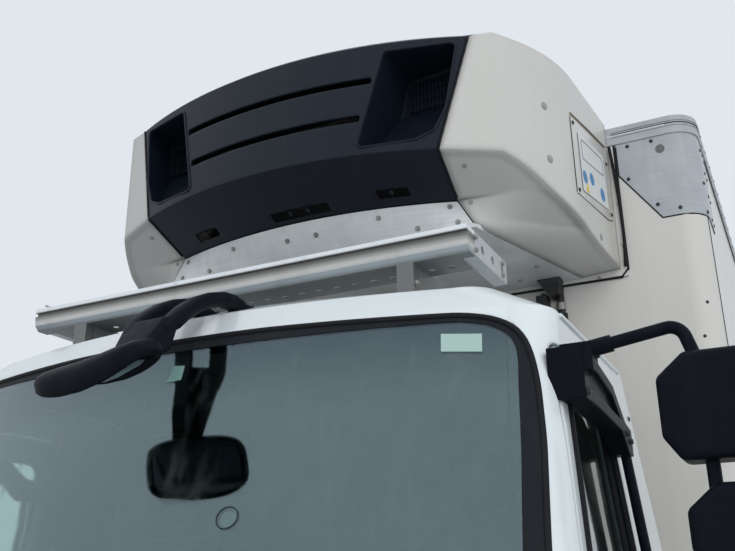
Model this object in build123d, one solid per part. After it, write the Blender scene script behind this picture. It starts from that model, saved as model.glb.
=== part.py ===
from build123d import *
import math
import os

# A two-axle refrigerated box truck with a tilting day cab and a nose-mounted cooling unit.
# Millimetres, +Z up from the ground, +X to the truck's left, -Y to its front.
# The origin is on the ground, midway along the truck on its centreline.

# Overall layout along the truck
LENGTH = 7760.0
FRONT = -LENGTH / 2
REAR = LENGTH / 2
WHEELBASE = 4200.0
FRONT_AXLE_Y = FRONT + 1250.0
REAR_AXLE_Y = FRONT_AXLE_Y + WHEELBASE
SWING_GAP = 8.0         # gap round a piece that moves
SEAT_GAP = 0.3          # clearance of a piece laid on its seat
RUN_GAP = 0.06          # radial clearance of a pin or axle in its bore

# Wheels: 235/75 tyres on 17.5 inch rims
TYRE_R = 400.0
TYRE_W = 235.0
RIM_R = 222.0
FRONT_TRACK_HALF = 945.0
REAR_TRACK_HALF = 880.0
TWIN_HALF = 135.0
KINGPIN_X = 800.0
KINGPIN_R = 18.0
STUB_R = 42.0
AXLE_R = 58.0

# Ladder frame
RAIL_X = 380.0          # outer face of each rail
RAIL_W = 70.0
RAIL_T = 8.0
RAIL_BOTTOM = 650.0
RAIL_TOP = 870.0
RAIL_FRONT = FRONT + 150.0
RAIL_REAR = REAR - 200.0

# Load box
WALL_Y = FRONT + 1900.0     # front face of the box
BOX_HALF_W = 1292.0
BOX_TOP = 3450.0
BOX_FLOOR_Z = 985.0         # underside of the floor panel
FLOOR_T = 105.0
SIDE_T = 65.0
FRONT_WALL_T = 105.0
ROOF_T = 78.0
BOX_CORNER_R = 95.0
RAIL_PROUD = 8.0            # top rail stands this far off the walls
RAIL_BAND_H = 75.0
DOOR_FACE_Y = REAR - 85.0   # outer face of the closed rear doors
REAR_DOOR_T = 80.0
REAR_FRAME_D = 70.0
REAR_POST_W = 90.0
HINGE_X = BOX_HALF_W + 8.0
HINGE_Y = DOOR_FACE_Y + 20.0
HINGE_LOW = BOX_FLOOR_Z + 265.0
HINGE_PITCH = (BOX_TOP - 250.0 - HINGE_LOW) / 3
HINGE_HEIGHTS = (HINGE_LOW, HINGE_LOW + HINGE_PITCH, HINGE_LOW + 2 * HINGE_PITCH, HINGE_LOW + 3 * HINGE_PITCH)
LOCK_ROD_X = (330.0, BOX_HALF_W - 362.0)

# Cab shell as level sections: height, half width, front at the centre, front at the corner, rear
CAB_T = 60.0
CAB_ROOF_T = 45.0
CAB_CORNER_R = 95.0
CAB_FLOOR_Z = 950.0
CAB_SECTIONS = (
    (CAB_FLOOR_Z, 1140.0, FRONT + 80.0, FRONT + 190.0, WALL_Y - 350.0),
    (1430.0, 1091.5, FRONT + 95.0, FRONT + 230.0, WALL_Y - 350.0),
    (2345.0, 999.0, FRONT + 469.0, FRONT + 604.0, WALL_Y - 464.0),
    (2430.0, 850.0, FRONT + 550.0, FRONT + 655.0, WALL_Y - 500.0),
    (2505.0, 520.0, FRONT + 730.0, FRONT + 795.0, WALL_Y - 620.0),
)
SKIRT_DROP = 56.0       # the front panel hangs this far below the cab floor
TILT_Y = FRONT + 105.0
TILT_Z = 900.0
TILT_PIN_R = 14.0

# Cab side door and its glass, as (y, z) outlines
DOOR_OUTLINE = (
    (FRONT + 410.0, 1010.0), (FRONT + 410.0, 1440.0), (FRONT + 605.0, 2245.0), (FRONT + 1110.0, 2245.0),
    (FRONT + 1110.0, 1010.0),
)
WINDOW_OUTLINE = (
    (FRONT + 480.0, 1500.0), (FRONT + 650.0, 2165.0), (FRONT + 1035.0, 2165.0), (FRONT + 1035.0, 1500.0),
)
DOOR_HINGE_Y = FRONT + 418.0
DOOR_HINGE_OUT = 17.0       # the hinge pin stands this far off the door skin
DOOR_HINGE_Z = (1120.0, 1370.0)
DOOR_PIN_R = 5.0
DOOR_BARREL_R = 11.0

# Windscreen, as the overlap of a front outline in (x, z) and a side outline in (y, z)
SCREEN_HALF = (
    (1050.0, 1480.0), (1018.0, 1785.0), (1001.0, 2000.0), (984.0, 2131.0), (971.0, 2194.0), (955.0, 2246.0),
    (925.0, 2290.0), (870.0, 2318.0), (800.0, 2330.0), (300.0, 2342.0),
)
SCREEN_FRONT = SCREEN_HALF + tuple((-x, z) for x, z in reversed(SCREEN_HALF))
SCREEN_SIDE = (
    (FRONT - 70.0, 1470.0), (FRONT + 330.0, 1470.0), (FRONT + 455.0, 1780.0), (FRONT + 590.0, 2147.0),
    (FRONT + 680.0, 2370.0), (FRONT - 70.0, 2370.0),
)

# Cooling unit. Depths are measured forwards from the face that its covers stand on.
UNIT_SKIN = 14.0
UNIT_BACK = WALL_Y - RAIL_PROUD - SEAT_GAP      # the covers stop on a flange that is as proud as the top rail
UNIT_SEAM = 4.0
UNIT_BOTTOM = BOX_TOP - 607.0
UNIT_LIP_Z = UNIT_BOTTOM + 107.0        # top of the pan's front flange
UNIT_KINK_Z = UNIT_BOTTOM + 202.0       # where the front cover turns under
UNIT_EDGE_Z = UNIT_BOTTOM + 627.0
UNIT_TOP = UNIT_BOTTOM + 657.0
# The covers seen from above: half width at the wall, shoulder, bend and front corner
UNIT_PLAN = ((965.0, 0.0), (930.0, 410.0), (875.0, 620.0), (775.0, 785.0))
# Height, how far the side comes in, seam x and depth, nose depth
UNIT_UPRIGHT = (
    (UNIT_BOTTOM - 60.0, 0.0, 584.0, 870.0, 990.0),
    (UNIT_KINK_Z, 0.0, 584.0, 870.0, 990.0),
    (UNIT_EDGE_Z, 0.0, 688.0, 815.0, 960.0),
    (UNIT_TOP, 32.0, 660.0, 785.0, 925.0),
)
# The undercut below the crease: height, then x and depth at the wall, the side and the seam, and the nose depth
UNIT_UNDERCUT = (
    (UNIT_BOTTOM, 812.0, 0.0, 744.0, 266.0, 629.0, 664.0, 690.0),
    (UNIT_BOTTOM + 42.0, 1320.0, 0.0, 1100.0, 204.0, 605.0, 663.0, 718.0),
    (UNIT_LIP_Z, 1400.0, 0.0, 1400.0, 562.0, 568.0, 661.0, 760.0),
    (UNIT_KINK_Z, 1500.0, 0.0, 1500.0, 600.0, 584.5, 872.0, 992.0),
    (UNIT_TOP + 40.0, 1500.0, 0.0, 1500.0, 900.0, 760.0, 1300.0, 1500.0),
)
UNIT_COVER = (
    (-706.0, UNIT_TOP + 20.0), (706.0, UNIT_TOP + 20.0), (688.0, UNIT_EDGE_Z), (584.0, UNIT_KINK_Z),
    (568.0, UNIT_LIP_Z), (-568.0, UNIT_LIP_Z), (-584.0, UNIT_KINK_Z), (-688.0, UNIT_EDGE_Z),
)
UNIT_FLANGE = ((-629.0, UNIT_BOTTOM), (629.0, UNIT_BOTTOM), (568.0, UNIT_LIP_Z), (-568.0, UNIT_LIP_Z))
UNIT_FLOOR = ((-814.0, UNIT_BACK + 1.0), (814.0, UNIT_BACK + 1.0), (629.0, UNIT_BACK - 664.0),
              (629.0, UNIT_BACK - 800.0), (-629.0, UNIT_BACK - 800.0), (-629.0, UNIT_BACK - 664.0))
INTAKE = ((420.0, 591.0), (650.0, 603.0), (612.0, 357.0), (575.0, 272.0), (520.0, 242.0), (335.0, 230.0))
INTAKE_WALL = 8.0
SLOTS = ((484.0, 380.0), (340.0, 343.0))        # height over the pan and half length
SLOT_H = 26.0
POCKETS = ((380.0, 110.0, 132.0), (35.0, 230.0, 124.0), (-380.0, 110.0, 132.0))     # x, width, height over the pan

# Drive line
ENGINE_FRONT_Y = FRONT + 260.0
ENGINE_REAR_Y = FRONT + 1280.0
GEARBOX_REAR_Y = FRONT + 1930.0
ENGINE_HALF_W = 290.0


def prism(outline, axis, lo, hi, radius=0.0, grow=0.0):
    """A plate whose outline lies across one axis: (y, z), (x, z) or (x, y) pairs for x, y or z."""
    face = make_face(Polyline(*outline, close=True))
    if radius:
        face = fillet(face.vertices(), radius)
    if grow:
        face = offset(face, amount=grow, kind=Kind.INTERSECTION)
    plane = {
        "x": Plane(origin=(lo, 0, 0), x_dir=(0, 1, 0), z_dir=(1, 0, 0)),
        "y": Plane(origin=(0, hi, 0), x_dir=(1, 0, 0), z_dir=(0, -1, 0)),
        "z": Plane(origin=(0, 0, lo)),
    }[axis]
    return plane * extrude(face, amount=hi - lo, dir=(0, 0, 1))


def block(x0, x1, y0, y1, z0, z1):
    return Pos((x0 + x1) / 2, (y0 + y1) / 2, (z0 + z1) / 2) * Box(abs(x1 - x0), abs(y1 - y0), abs(z1 - z0))


def rod(start, end, radius):
    run = Vector(*end) - Vector(*start)
    return Plane(origin=start, z_dir=run) * extrude(Circle(radius), run.length, dir=(0, 0, 1))


def pipe(points, bend, radius):
    path = FilletPolyline(*points, radius=bend)
    return sweep(Plane(origin=path @ 0, z_dir=path % 0) * Circle(radius), path=path)


def mirrored(piece):
    return mirror(piece, about=Plane.YZ)


def both(piece):
    return piece + mirrored(piece)


def turned(profile, centre_x, y, z):
    """A piece spun about a level axle: profile holds (radius, x) pairs."""
    face = make_face(Polyline(*[(x, r) for r, x in profile], close=True))
    return Pos(centre_x, y, z) * revolve(face, axis=Axis.X, revolution_arc=360)


def level_section(half, front_mid, front_corner, rear, radius, z):
    """A cab section: straight rear and sides, round front corners and a bowed front."""
    s = radius * 0.7071
    corner_y = front_corner + radius
    edges = [
        Line((-half, rear, z), (half, rear, z)),
        Line((half, rear, z), (half, corner_y, z)),
        ThreePointArc((half, corner_y, z), (half - radius + s, corner_y - s, z), (half - radius, front_corner, z)),
        ThreePointArc((half - radius, front_corner, z), (0, front_mid, z), (-half + radius, front_corner, z)),
        ThreePointArc((-half + radius, front_corner, z), (-half + radius - s, corner_y - s, z), (-half, corner_y, z)),
        Line((-half, corner_y, z), (-half, rear, z)),
    ]
    return make_face(edges)


def side_x(z, inset=0.0):
    """The x of the cab's side at a height, up to the roof seam."""
    z0, x0 = CAB_SECTIONS[0][0], CAB_SECTIONS[0][1]
    z1, x1 = CAB_SECTIONS[2][0], CAB_SECTIONS[2][1]
    return x0 + (x1 - x0) * (z - z0) / (z1 - z0) - inset


def cab_solid(inset):
    """The cab's outer form, or the same form set in by a distance on every side."""
    faces = []
    last = len(CAB_SECTIONS) - 1
    for i, (z, half, mid, corner, rear) in enumerate(CAB_SECTIONS):
        level = z
        if i == 0:
            level = z + inset * 0.85
        if i == last:
            level = z - inset * 0.75
        if i == last - 1:
            level = z - inset * 0.5
        cut = inset if i < last - 1 else inset * 1.1
        faces.append(level_section(half - cut, mid + cut, corner + cut, rear - cut, CAB_CORNER_R - inset * 0.5, level))
    return loft(faces, ruled=True)


def unit_upright(inset):
    """The cooling unit's covers as an upright form, or the same form set in from every side but the wall."""
    faces = []
    last = len(UNIT_UPRIGHT) - 1
    t = inset
    for i, (z, narrow, seam_x, seam_d, nose) in enumerate(UNIT_UPRIGHT):
        level = z - t if i == last else z
        cut = narrow + t
        (wx, wd), (sx, sd), (mx, md), (bx, bd) = UNIT_PLAN
        wall = (wx - cut, UNIT_BACK - wd, level)
        shoulder = (sx - cut, UNIT_BACK - sd + t * 0.2, level)
        bend = (mx - cut * 0.9, UNIT_BACK - md + cut * 0.5, level)
        corner = (bx - cut * 0.6, UNIT_BACK - bd + cut * 0.8, level)
        seam = (seam_x - t * 0.3, UNIT_BACK - seam_d + t, level)
        right = [(-x, y, z) for x, y, z in (wall, shoulder, bend, corner, seam)]
        faces.append(make_face([
            Line(right[0], wall),
            Line(wall, shoulder),
            ThreePointArc(shoulder, bend, corner),
            Line(corner, seam),
            ThreePointArc(seam, (0, UNIT_BACK - nose + t, level), right[4]),
            Line(right[4], right[3]),
            ThreePointArc(right[3], right[2], right[1]),
            Line(right[1], right[0]),
        ]))
    return loft(faces, ruled=True)


def unit_undercut(inset):
    """A wider form whose lower part slopes in to the pan; the covers are what it shares with the upright one."""
    faces = []
    t = inset
    for i, (z, wx, wd, gx, gd, cx, cd, nose) in enumerate(UNIT_UNDERCUT):
        level = z + t if i == 0 else z
        wall = (wx - t * 1.4, UNIT_BACK - wd, level)
        side = (gx - t * 1.3, UNIT_BACK - gd + t * 0.8, level)
        seam = (cx - t * 0.9, UNIT_BACK - cd + t, level)
        right = [(-x, y, z) for x, y, z in (wall, side, seam)]
        faces.append(make_face([
            Line(right[0], wall),
            Line(wall, side),
            Line(side, seam),
            ThreePointArc(seam, (0, UNIT_BACK - nose + t, level), right[2]),
            Line(right[2], right[1]),
            Line(right[1], right[0]),
        ]))
    return loft(faces, ruled=True)


def unit_solid(inset):
    return unit_upright(inset) & unit_undercut(inset)


# Wheels

def tyre(centre_x, y):
    half, crown, bead = TYRE_W / 2, TYRE_R, RIM_R + 1.0
    profile = [
        (bead, -half * 0.68), (bead + 13, -half * 0.68), (bead + 26, -half * 0.86), (bead + 85, -half),
        (crown - 55, -half * 0.97), (crown - 14, -half * 0.86), (crown, -half * 0.70), (crown, half * 0.70),
        (crown - 14, half * 0.86), (crown - 55, half * 0.97), (bead + 85, half), (bead + 26, half * 0.86),
        (bead + 13, half * 0.68), (bead, half * 0.68),
    ]
    return turned(profile, centre_x, y, TYRE_R)


def rim_band(offset_x):
    """One rim: bead seats, a dropped centre and a thin wall, centred at an x."""
    half = TYRE_W * 0.35
    outer = [(RIM_R + 12, -half - 9), (RIM_R + 12, -half - 2), (RIM_R, -half), (RIM_R, -half * 0.6),
             (RIM_R - 22, -half * 0.4), (RIM_R - 22, half * 0.4), (RIM_R, half * 0.6), (RIM_R, half),
             (RIM_R + 12, half + 2), (RIM_R + 12, half + 9)]
    inner = [(RIM_R - 9, half + 9), (RIM_R - 10, half * 0.55), (RIM_R - 32, half * 0.35), (RIM_R - 32, -half * 0.35),
             (RIM_R - 10, -half * 0.55), (RIM_R - 9, -half - 9)]
    return turned([(r, x + offset_x) for r, x in outer + inner], 0, 0, 0)


def front_rim():
    """A steel disc wheel with its dish outwards, and a hub that runs on the stub axle."""
    bore = STUB_R + RUN_GAP
    disc = [(bore, -30), (82, -30), (82, 40), (148, 42), (184, -2), (193, -2), (193, 12), (190, 14),
            (152, 56), (95, 56), (95, 84), (bore, 84)]
    body = rim_band(0) + turned(disc, 0, 0, 0)
    for hole in range(8):
        angle = math.radians(22.5 + hole * 45.0)
        y, z = 168 * math.cos(angle), 168 * math.sin(angle)
        body -= rod((-10, y, z), (70, y, z), 17)
    return body


def rear_rims():
    """Twin disc wheels back to back on one hub, dished inwards between the tyres."""
    bore = AXLE_R + RUN_GAP
    disc = [(bore, -90), (96, -90), (96, -14), (150, -14), (196, -76), (216, -76), (216, -62), (203, -62),
            (168, -2), (168, 2), (203, 62), (216, 62), (216, 76), (196, 76), (150, 14), (112, 14), (112, 104),
            (bore, 104)]
    body = rim_band(-TWIN_HALF) + rim_band(TWIN_HALF) + turned(disc, 0, 0, 0)
    for hole in range(8):
        angle = math.radians(22.5 + hole * 45.0)
        y, z = 150 * math.cos(angle), 150 * math.sin(angle)
        body -= rod((-60, y, z), (60, y, z), 14)
    return body


# Axles and springs

def knuckle():
    """Left steering knuckle: kingpin, fork, stub axle and brake backplate."""
    y, z = FRONT_AXLE_Y, TYRE_R
    piece = rod((KINGPIN_X, y, z - 95), (KINGPIN_X, y, z + 95), KINGPIN_R)
    for low, high in ((-95, -60), (60, 95)):
        piece += rod((KINGPIN_X, y, z + low), (KINGPIN_X, y, z + high), 34)
        piece += block(KINGPIN_X, KINGPIN_X + 66, y - 34, y + 34, z + low, z + high)
    piece += block(KINGPIN_X + 44, KINGPIN_X + 66, y - 42, y + 42, z - 95, z + 95)
    piece += rod((KINGPIN_X + 60, y, z), (KINGPIN_X + 80, y, z), 165)
    piece += rod((KINGPIN_X + 60, y, z), (FRONT_TRACK_HALF + 70, y, z), STUB_R)
    return piece


def front_axle_beam():
    y, z = FRONT_AXLE_Y, TYRE_R
    eye = KINGPIN_X
    arm = eye - 95
    beam = prism([(-arm, z + 34), (-600, z - 40), (-500, z - 70), (500, z - 70), (600, z - 40), (arm, z + 34),
                  (arm, z - 34), (560, z - 140), (-560, z - 140), (-arm, z - 34)], "y", y - 50, y + 50)
    for side in (-1, 1):
        beam += rod((side * eye, y, z - 54), (side * eye, y, z + 54), 36)
        beam += block(side * eye, side * (arm - 10), y - 34, y + 34, z - 34, z + 34)
        beam -= rod((side * eye, y, z - 60), (side * eye, y, z + 60), KINGPIN_R + RUN_GAP)
    return beam


def rear_axle():
    y, z = REAR_AXLE_Y, TYRE_R
    hub_end = REAR_TRACK_HALF + 100
    axle = rod((-hub_end, y, z), (hub_end, y, z), AXLE_R)
    axle += Pos(0, y, z) * Sphere(190)
    axle += rod((0, y - 280, z + 20), (0, y, z + 20), 90)
    axle += both(rod((REAR_TRACK_HALF - 290, y, z), (REAR_TRACK_HALF - 262, y, z), 165))
    return axle


PROP_JOINT = 1600.0      # from the gearbox to the shaft's middle joint


def propshaft():
    y0, y1, y2 = GEARBOX_REAR_Y + SEAT_GAP, GEARBOX_REAR_Y + PROP_JOINT, REAR_AXLE_Y - 280 - SEAT_GAP
    z0, z1, z2 = 640.0, 560.0, TYRE_R + 20
    shaft = rod((0, y0, z0), (0, y0 + 50, z0), 65) + rod((0, y0 + 20, z0), (0, y1, z1), 45)
    shaft += Pos(0, y1, z1) * Sphere(58)
    shaft += rod((0, y1, z1), (0, y2 - 20, z2), 45) + rod((0, y2 - 50, z2), (0, y2, z2), 65)
    return shaft


def engine_block():
    """The engine and gearbox, each one plain block."""
    engine = block(-ENGINE_HALF_W, ENGINE_HALF_W, ENGINE_FRONT_Y, ENGINE_REAR_Y, 480, 1080)
    gearbox = prism([(ENGINE_REAR_Y - 1, 500), (GEARBOX_REAR_Y, 560), (GEARBOX_REAR_Y, 720), (ENGINE_REAR_Y - 1, 860)],
                    "x", -190, 190)
    return engine + gearbox


SPRING_X = RAIL_X - 35.0
FRONT_LEAVES = 3
REAR_LEAVES = 5
SPRINGS = (             # axle y, length, leaves, seat height
    (FRONT_AXLE_Y, 1300.0, FRONT_LEAVES, TYRE_R - 70.0),
    (REAR_AXLE_Y, 1400.0, REAR_LEAVES, TYRE_R + AXLE_R),
)
LEAF_T = 14.0
LEAF_RISE = 90.0


def leaf_springs():
    packs = None
    for axle_y, length, leaves, seat in SPRINGS:
        for leaf in range(leaves):
            half = length / 2 - leaf * length * 0.085
            low = seat + SEAT_GAP + (leaves - 1 - leaf) * LEAF_T
            rise = LEAF_RISE * (half / (length / 2)) ** 2
            a, b = axle_y - half, axle_y + half
            face = make_face([
                ThreePointArc((a, low + rise), (axle_y, low), (b, low + rise)),
                Line((b, low + rise), (b, low + rise + LEAF_T)),
                ThreePointArc((b, low + rise + LEAF_T), (axle_y, low + LEAF_T), (a, low + rise + LEAF_T)),
                Line((a, low + rise + LEAF_T), (a, low + rise)),
            ])
            plane = Plane(origin=(SPRING_X - 35, 0, 0), x_dir=(0, 1, 0), z_dir=(1, 0, 0))
            piece = plane * extrude(face, amount=70, dir=(0, 0, 1))
            packs = piece if packs is None else packs + piece
    return both(packs)


CROSS_MEMBERS = (
    RAIL_FRONT + 40.0, WALL_Y + 120.0, WALL_Y + 1280.0, REAR_AXLE_Y - 1070.0, REAR_AXLE_Y + 880.0,
    RAIL_REAR - 180.0,
)


def frame_rails():
    """Two channel rails, their cross members, spring hangers and the cab's front and rear mounts."""
    rail = block(RAIL_X - RAIL_W, RAIL_X, RAIL_FRONT, RAIL_REAR, RAIL_BOTTOM, RAIL_TOP)
    rail -= block(RAIL_X - RAIL_W - 1, RAIL_X - RAIL_T, RAIL_FRONT - 1, RAIL_REAR + 1,
                  RAIL_BOTTOM + RAIL_T, RAIL_TOP - RAIL_T)
    for axle_y, length, leaves, seat in SPRINGS:
        top = seat + SEAT_GAP + leaves * LEAF_T + LEAF_RISE
        for end in (-1, 1):
            y = axle_y + end * (length / 2 - 28)
            rail += block(RAIL_X - RAIL_W, RAIL_X, y - 28, y + 28, top + SEAT_GAP, RAIL_BOTTOM + 1)
    rail += block(330, 350, TILT_Y - 28, RAIL_FRONT + 40, TILT_Z - 45, TILT_Z + 28)
    rail += block(330, 350, RAIL_FRONT, RAIL_FRONT + 40, RAIL_TOP - 60, TILT_Z)
    rail += rod((345, TILT_Y, TILT_Z), (386, TILT_Y, TILT_Z), TILT_PIN_R)
    rail += block(RAIL_X - RAIL_W, RAIL_X, WALL_Y - 460, WALL_Y - 400, RAIL_TOP - 1, CAB_FLOOR_Z - 6)
    rails = both(rail)
    for y in CROSS_MEMBERS:
        rails += block(-RAIL_X + RAIL_T - 1, RAIL_X - RAIL_T + 1, y - 30, y + 30, 745, RAIL_TOP - 12)
    return rails


# Side tanks, guards and mudguards

FUEL_TANK = (-1, 470.0, 1080.0, WALL_Y + 230.0, WALL_Y + 1260.0, 410.0, 830.0, 70.0)
SIDE_BOXES = (          # silencer and battery boxes: side, inner x, outer x, front y, rear y, bottom z, top z, edge radius
    (1, 470.0, 1060.0, WALL_Y + 230.0, WALL_Y + 830.0, 400.0, 830.0, 60.0),
    (1, 470.0, 1080.0, WALL_Y + 920.0, WALL_Y + 1450.0, 430.0, 830.0, 20.0),
)


def side_box(side, x0, x1, y0, y1, z0, z1, radius):
    body = prism([(x0, z0), (x1, z0), (x1, z1), (x0, z1)], "y", y0, y1, radius=radius)
    for y in (y0 + 110, y1 - 110):
        body += block(RAIL_X + SEAT_GAP, x0 + 5, y - 30, y + 30, z0 + 150, z1 - 60)
    return body if side > 0 else mirrored(body)


GUARD_RUNS = (          # front end, rear end, and where its two posts would best stand
    (WALL_Y + 1520.0, REAR_AXLE_Y - 580.0, WALL_Y + 1620.0, REAR_AXLE_Y - 960.0),
    (REAR_AXLE_Y + 580.0, REAR - 270.0, REAR_AXLE_Y + 980.0, REAR - 360.0),
)
GUARD_BARS = (450.0, 690.0)


GUARD_X = BOX_HALF_W - 77.0       # outer face of the side guards
BEARER_END = BOX_HALF_W - 92.0


def side_guards():
    guards = None
    for y0, y1, first, last in GUARD_RUNS:
        for z in GUARD_BARS:
            bar = block(GUARD_X - 25, GUARD_X, y0, y1, z, z + 90)
            guards = bar if guards is None else guards + bar
        for wanted in (first, last):
            y = nearest_bearer(wanted)
            guards += block(GUARD_X - 65, GUARD_X - 24, y - 25, y + 25, GUARD_BARS[0] + 10,
                            BOX_FLOOR_Z - BEARER_H - SEAT_GAP)
    return both(guards)


def rear_bumper():
    bar = block(-BOX_HALF_W + 132, BOX_HALF_W - 132, REAR - 110, REAR - 30, 430, 545)
    for side in (-1, 1):
        bar += block(side * 320, side * 372, RAIL_REAR + SEAT_GAP, REAR - 60, 640, 840)
        bar += block(side * 320, side * 372, REAR - 160, REAR - 100, 440, 840)
        bar += block(side * 500, side * 620, REAR - 110, REAR, 880, 1000) - block(
            side * 480, side * 640, DOOR_FACE_Y - 200, REAR - 60, 860, 1100)
    bar += block(-640, 640, REAR - 60, REAR - 30, 640, 700) + block(-640, 640, REAR - 110, REAR - 60, 640, 700)
    for side in (-1, 1):
        bar += block(side * 530, side * 590, REAR - 60, REAR - 30, 690, 900)
    return bar


def tail_lamps():
    lamps = block(680, BOX_HALF_W - 172, REAR - 100, REAR - 40, 640, 760)
    lamps += block(640 + SEAT_GAP, 700, REAR - 90, REAR - 60, 650, 690)
    return both(lamps)


MUDGUARDS = (           # axle y, inner radius, inner x, outer x, lowest angle
    (FRONT_AXLE_Y, TYRE_R + 100.0, FRONT_TRACK_HALF - 175.0, FRONT_TRACK_HALF + 175.0, 18.0),
    (REAR_AXLE_Y, TYRE_R + 58.0, REAR_TRACK_HALF - 280.0, REAR_TRACK_HALF + 280.0, 14.0),
)


def mudguards():
    guards = None
    for axle_y, radius, x0, x1, low in MUDGUARDS:
        ring = rod((x0, axle_y, TYRE_R), (x1, axle_y, TYRE_R), radius + 5)
        ring -= rod((x0 - 1, axle_y, TYRE_R), (x1 + 1, axle_y, TYRE_R), radius)
        reach = radius + 20
        drop = math.tan(math.radians(low)) * reach
        ring -= block(x0 - 1, x1 + 1, axle_y - reach, axle_y + reach, TYRE_R - reach, TYRE_R + drop)
        for end in (-1, 1):
            angle = math.radians(90 + end * 42)
            y, z = axle_y + (radius + 2) * math.cos(angle), TYRE_R + (radius + 2) * math.sin(angle)
            ring += rod((RAIL_X + SEAT_GAP, y, z), (x0 + 10, y, z), 14)
        guards = ring if guards is None else guards + ring
    return both(guards)


# Front bumper, headlamps and steps

BUMPER_Z = (400.0, 880.0)
BUMPER_T = 50.0


def bumper_form(inset):
    half, corner = 1130.0 - inset, 150.0 - inset * 0.5
    form = level_section(half, FRONT + inset, FRONT + 90 + inset, FRONT + 380 + inset, corner, BUMPER_Z[0])
    return extrude(form, amount=BUMPER_Z[1] - BUMPER_Z[0], dir=(0, 0, 1))


LAMP_OUTLINE = ((740.0, 590.0), (1010.0, 570.0), (1040.0, 600.0), (1040.0, 720.0), (1010.0, 750.0), (740.0, 735.0))


def front_bumper():
    shell = bumper_form(0) - bumper_form(BUMPER_T)
    shell -= block(-1080, 1080, FRONT + 320, FRONT + 480, 300, 1000)
    for side in (-1, 1):
        cut = prism(LAMP_OUTLINE, "y", FRONT - 10, FRONT + 260)
        shell -= cut if side > 0 else mirrored(cut)
        shell += block(side * 320, side * 370, FRONT + 40, RAIL_FRONT - SEAT_GAP, 700, 840)
    shell -= prism([(-520, 640), (520, 640), (480, 800), (-480, 800)], "y", FRONT - 10, FRONT + 100, radius=20)
    return shell


def headlamps():
    lens = (bumper_form(6) - bumper_form(46)) & prism(LAMP_OUTLINE, "y", FRONT - 10, FRONT + 260, grow=-SEAT_GAP)
    return both(lens)


def lamps():
    """The headlamps in the bumper and the lamp clusters at the rear."""
    return headlamps() + tail_lamps()


STEP_Y = (FRONT + 415.0, FRONT + 750.0)
STEP_X = (860.0, 1125.0)


def entry_steps():
    """A two-tread step box on each side, hung from the frame."""
    x0, x1 = STEP_X
    y0, y1 = STEP_Y
    box = block(x0, x1, y0, y1, 380, 915)
    for z0, z1 in ((440, 640), (690, 890)):
        box -= block(x0 + 60, x1 + 10, y0 + 25, y1 - 25, z0, z1)
    box += block(RAIL_X + SEAT_GAP, x0 + 5, y0 + 65, y0 + 125, 700, 800)
    return both(box)


# Cab

def door_cut(grow=0.0, depth=CAB_T):
    """The door's outline through the cab's side, no deeper than a distance from the sloping skin."""
    z0, z1 = DOOR_OUTLINE[0][1] - 30, DOOR_OUTLINE[2][1] + 30
    side = prism([(side_x(z0, depth), z0), (1250, z0), (1250, z1), (side_x(z1, depth), z1)], "y",
                 DOOR_OUTLINE[0][0] - 30, DOOR_OUTLINE[3][0] + 30)
    return prism(DOOR_OUTLINE, "x", 780, 1250, radius=35, grow=grow) & side


def window_cut(grow=0.0):
    return prism(WINDOW_OUTLINE, "x", 780, 1250, radius=45, grow=grow)


def screen_cut():
    return prism(SCREEN_FRONT, "y", FRONT - 70, FRONT + 880) & prism(SCREEN_SIDE, "x", -1200, 1200)


def hinge_axis(z):
    """The point of the left door's hinge line at a height; the line leans in as the cab's side does."""
    return Vector(side_x(z) + DOOR_HINGE_OUT, DOOR_HINGE_Y, z)


def hinge_rod(z, low, high, radius):
    run = (hinge_axis(z + 100) - hinge_axis(z)).normalized()
    return rod(hinge_axis(z) + run * low, hinge_axis(z) + run * high, radius)


def front_panel_slots():
    """The air slots across the panel under the windscreen, and the step-in recess below them."""
    cut = None
    for i in range(4):
        z = CAB_FLOOR_Z + 60 + i * 46
        slot = prism([(-470, z), (470, z), (470, z + 26), (-470, z + 26)], "y", FRONT - 70, FRONT + 125, radius=12)
        cut = slot if cut is None else cut + slot
    return cut


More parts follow.
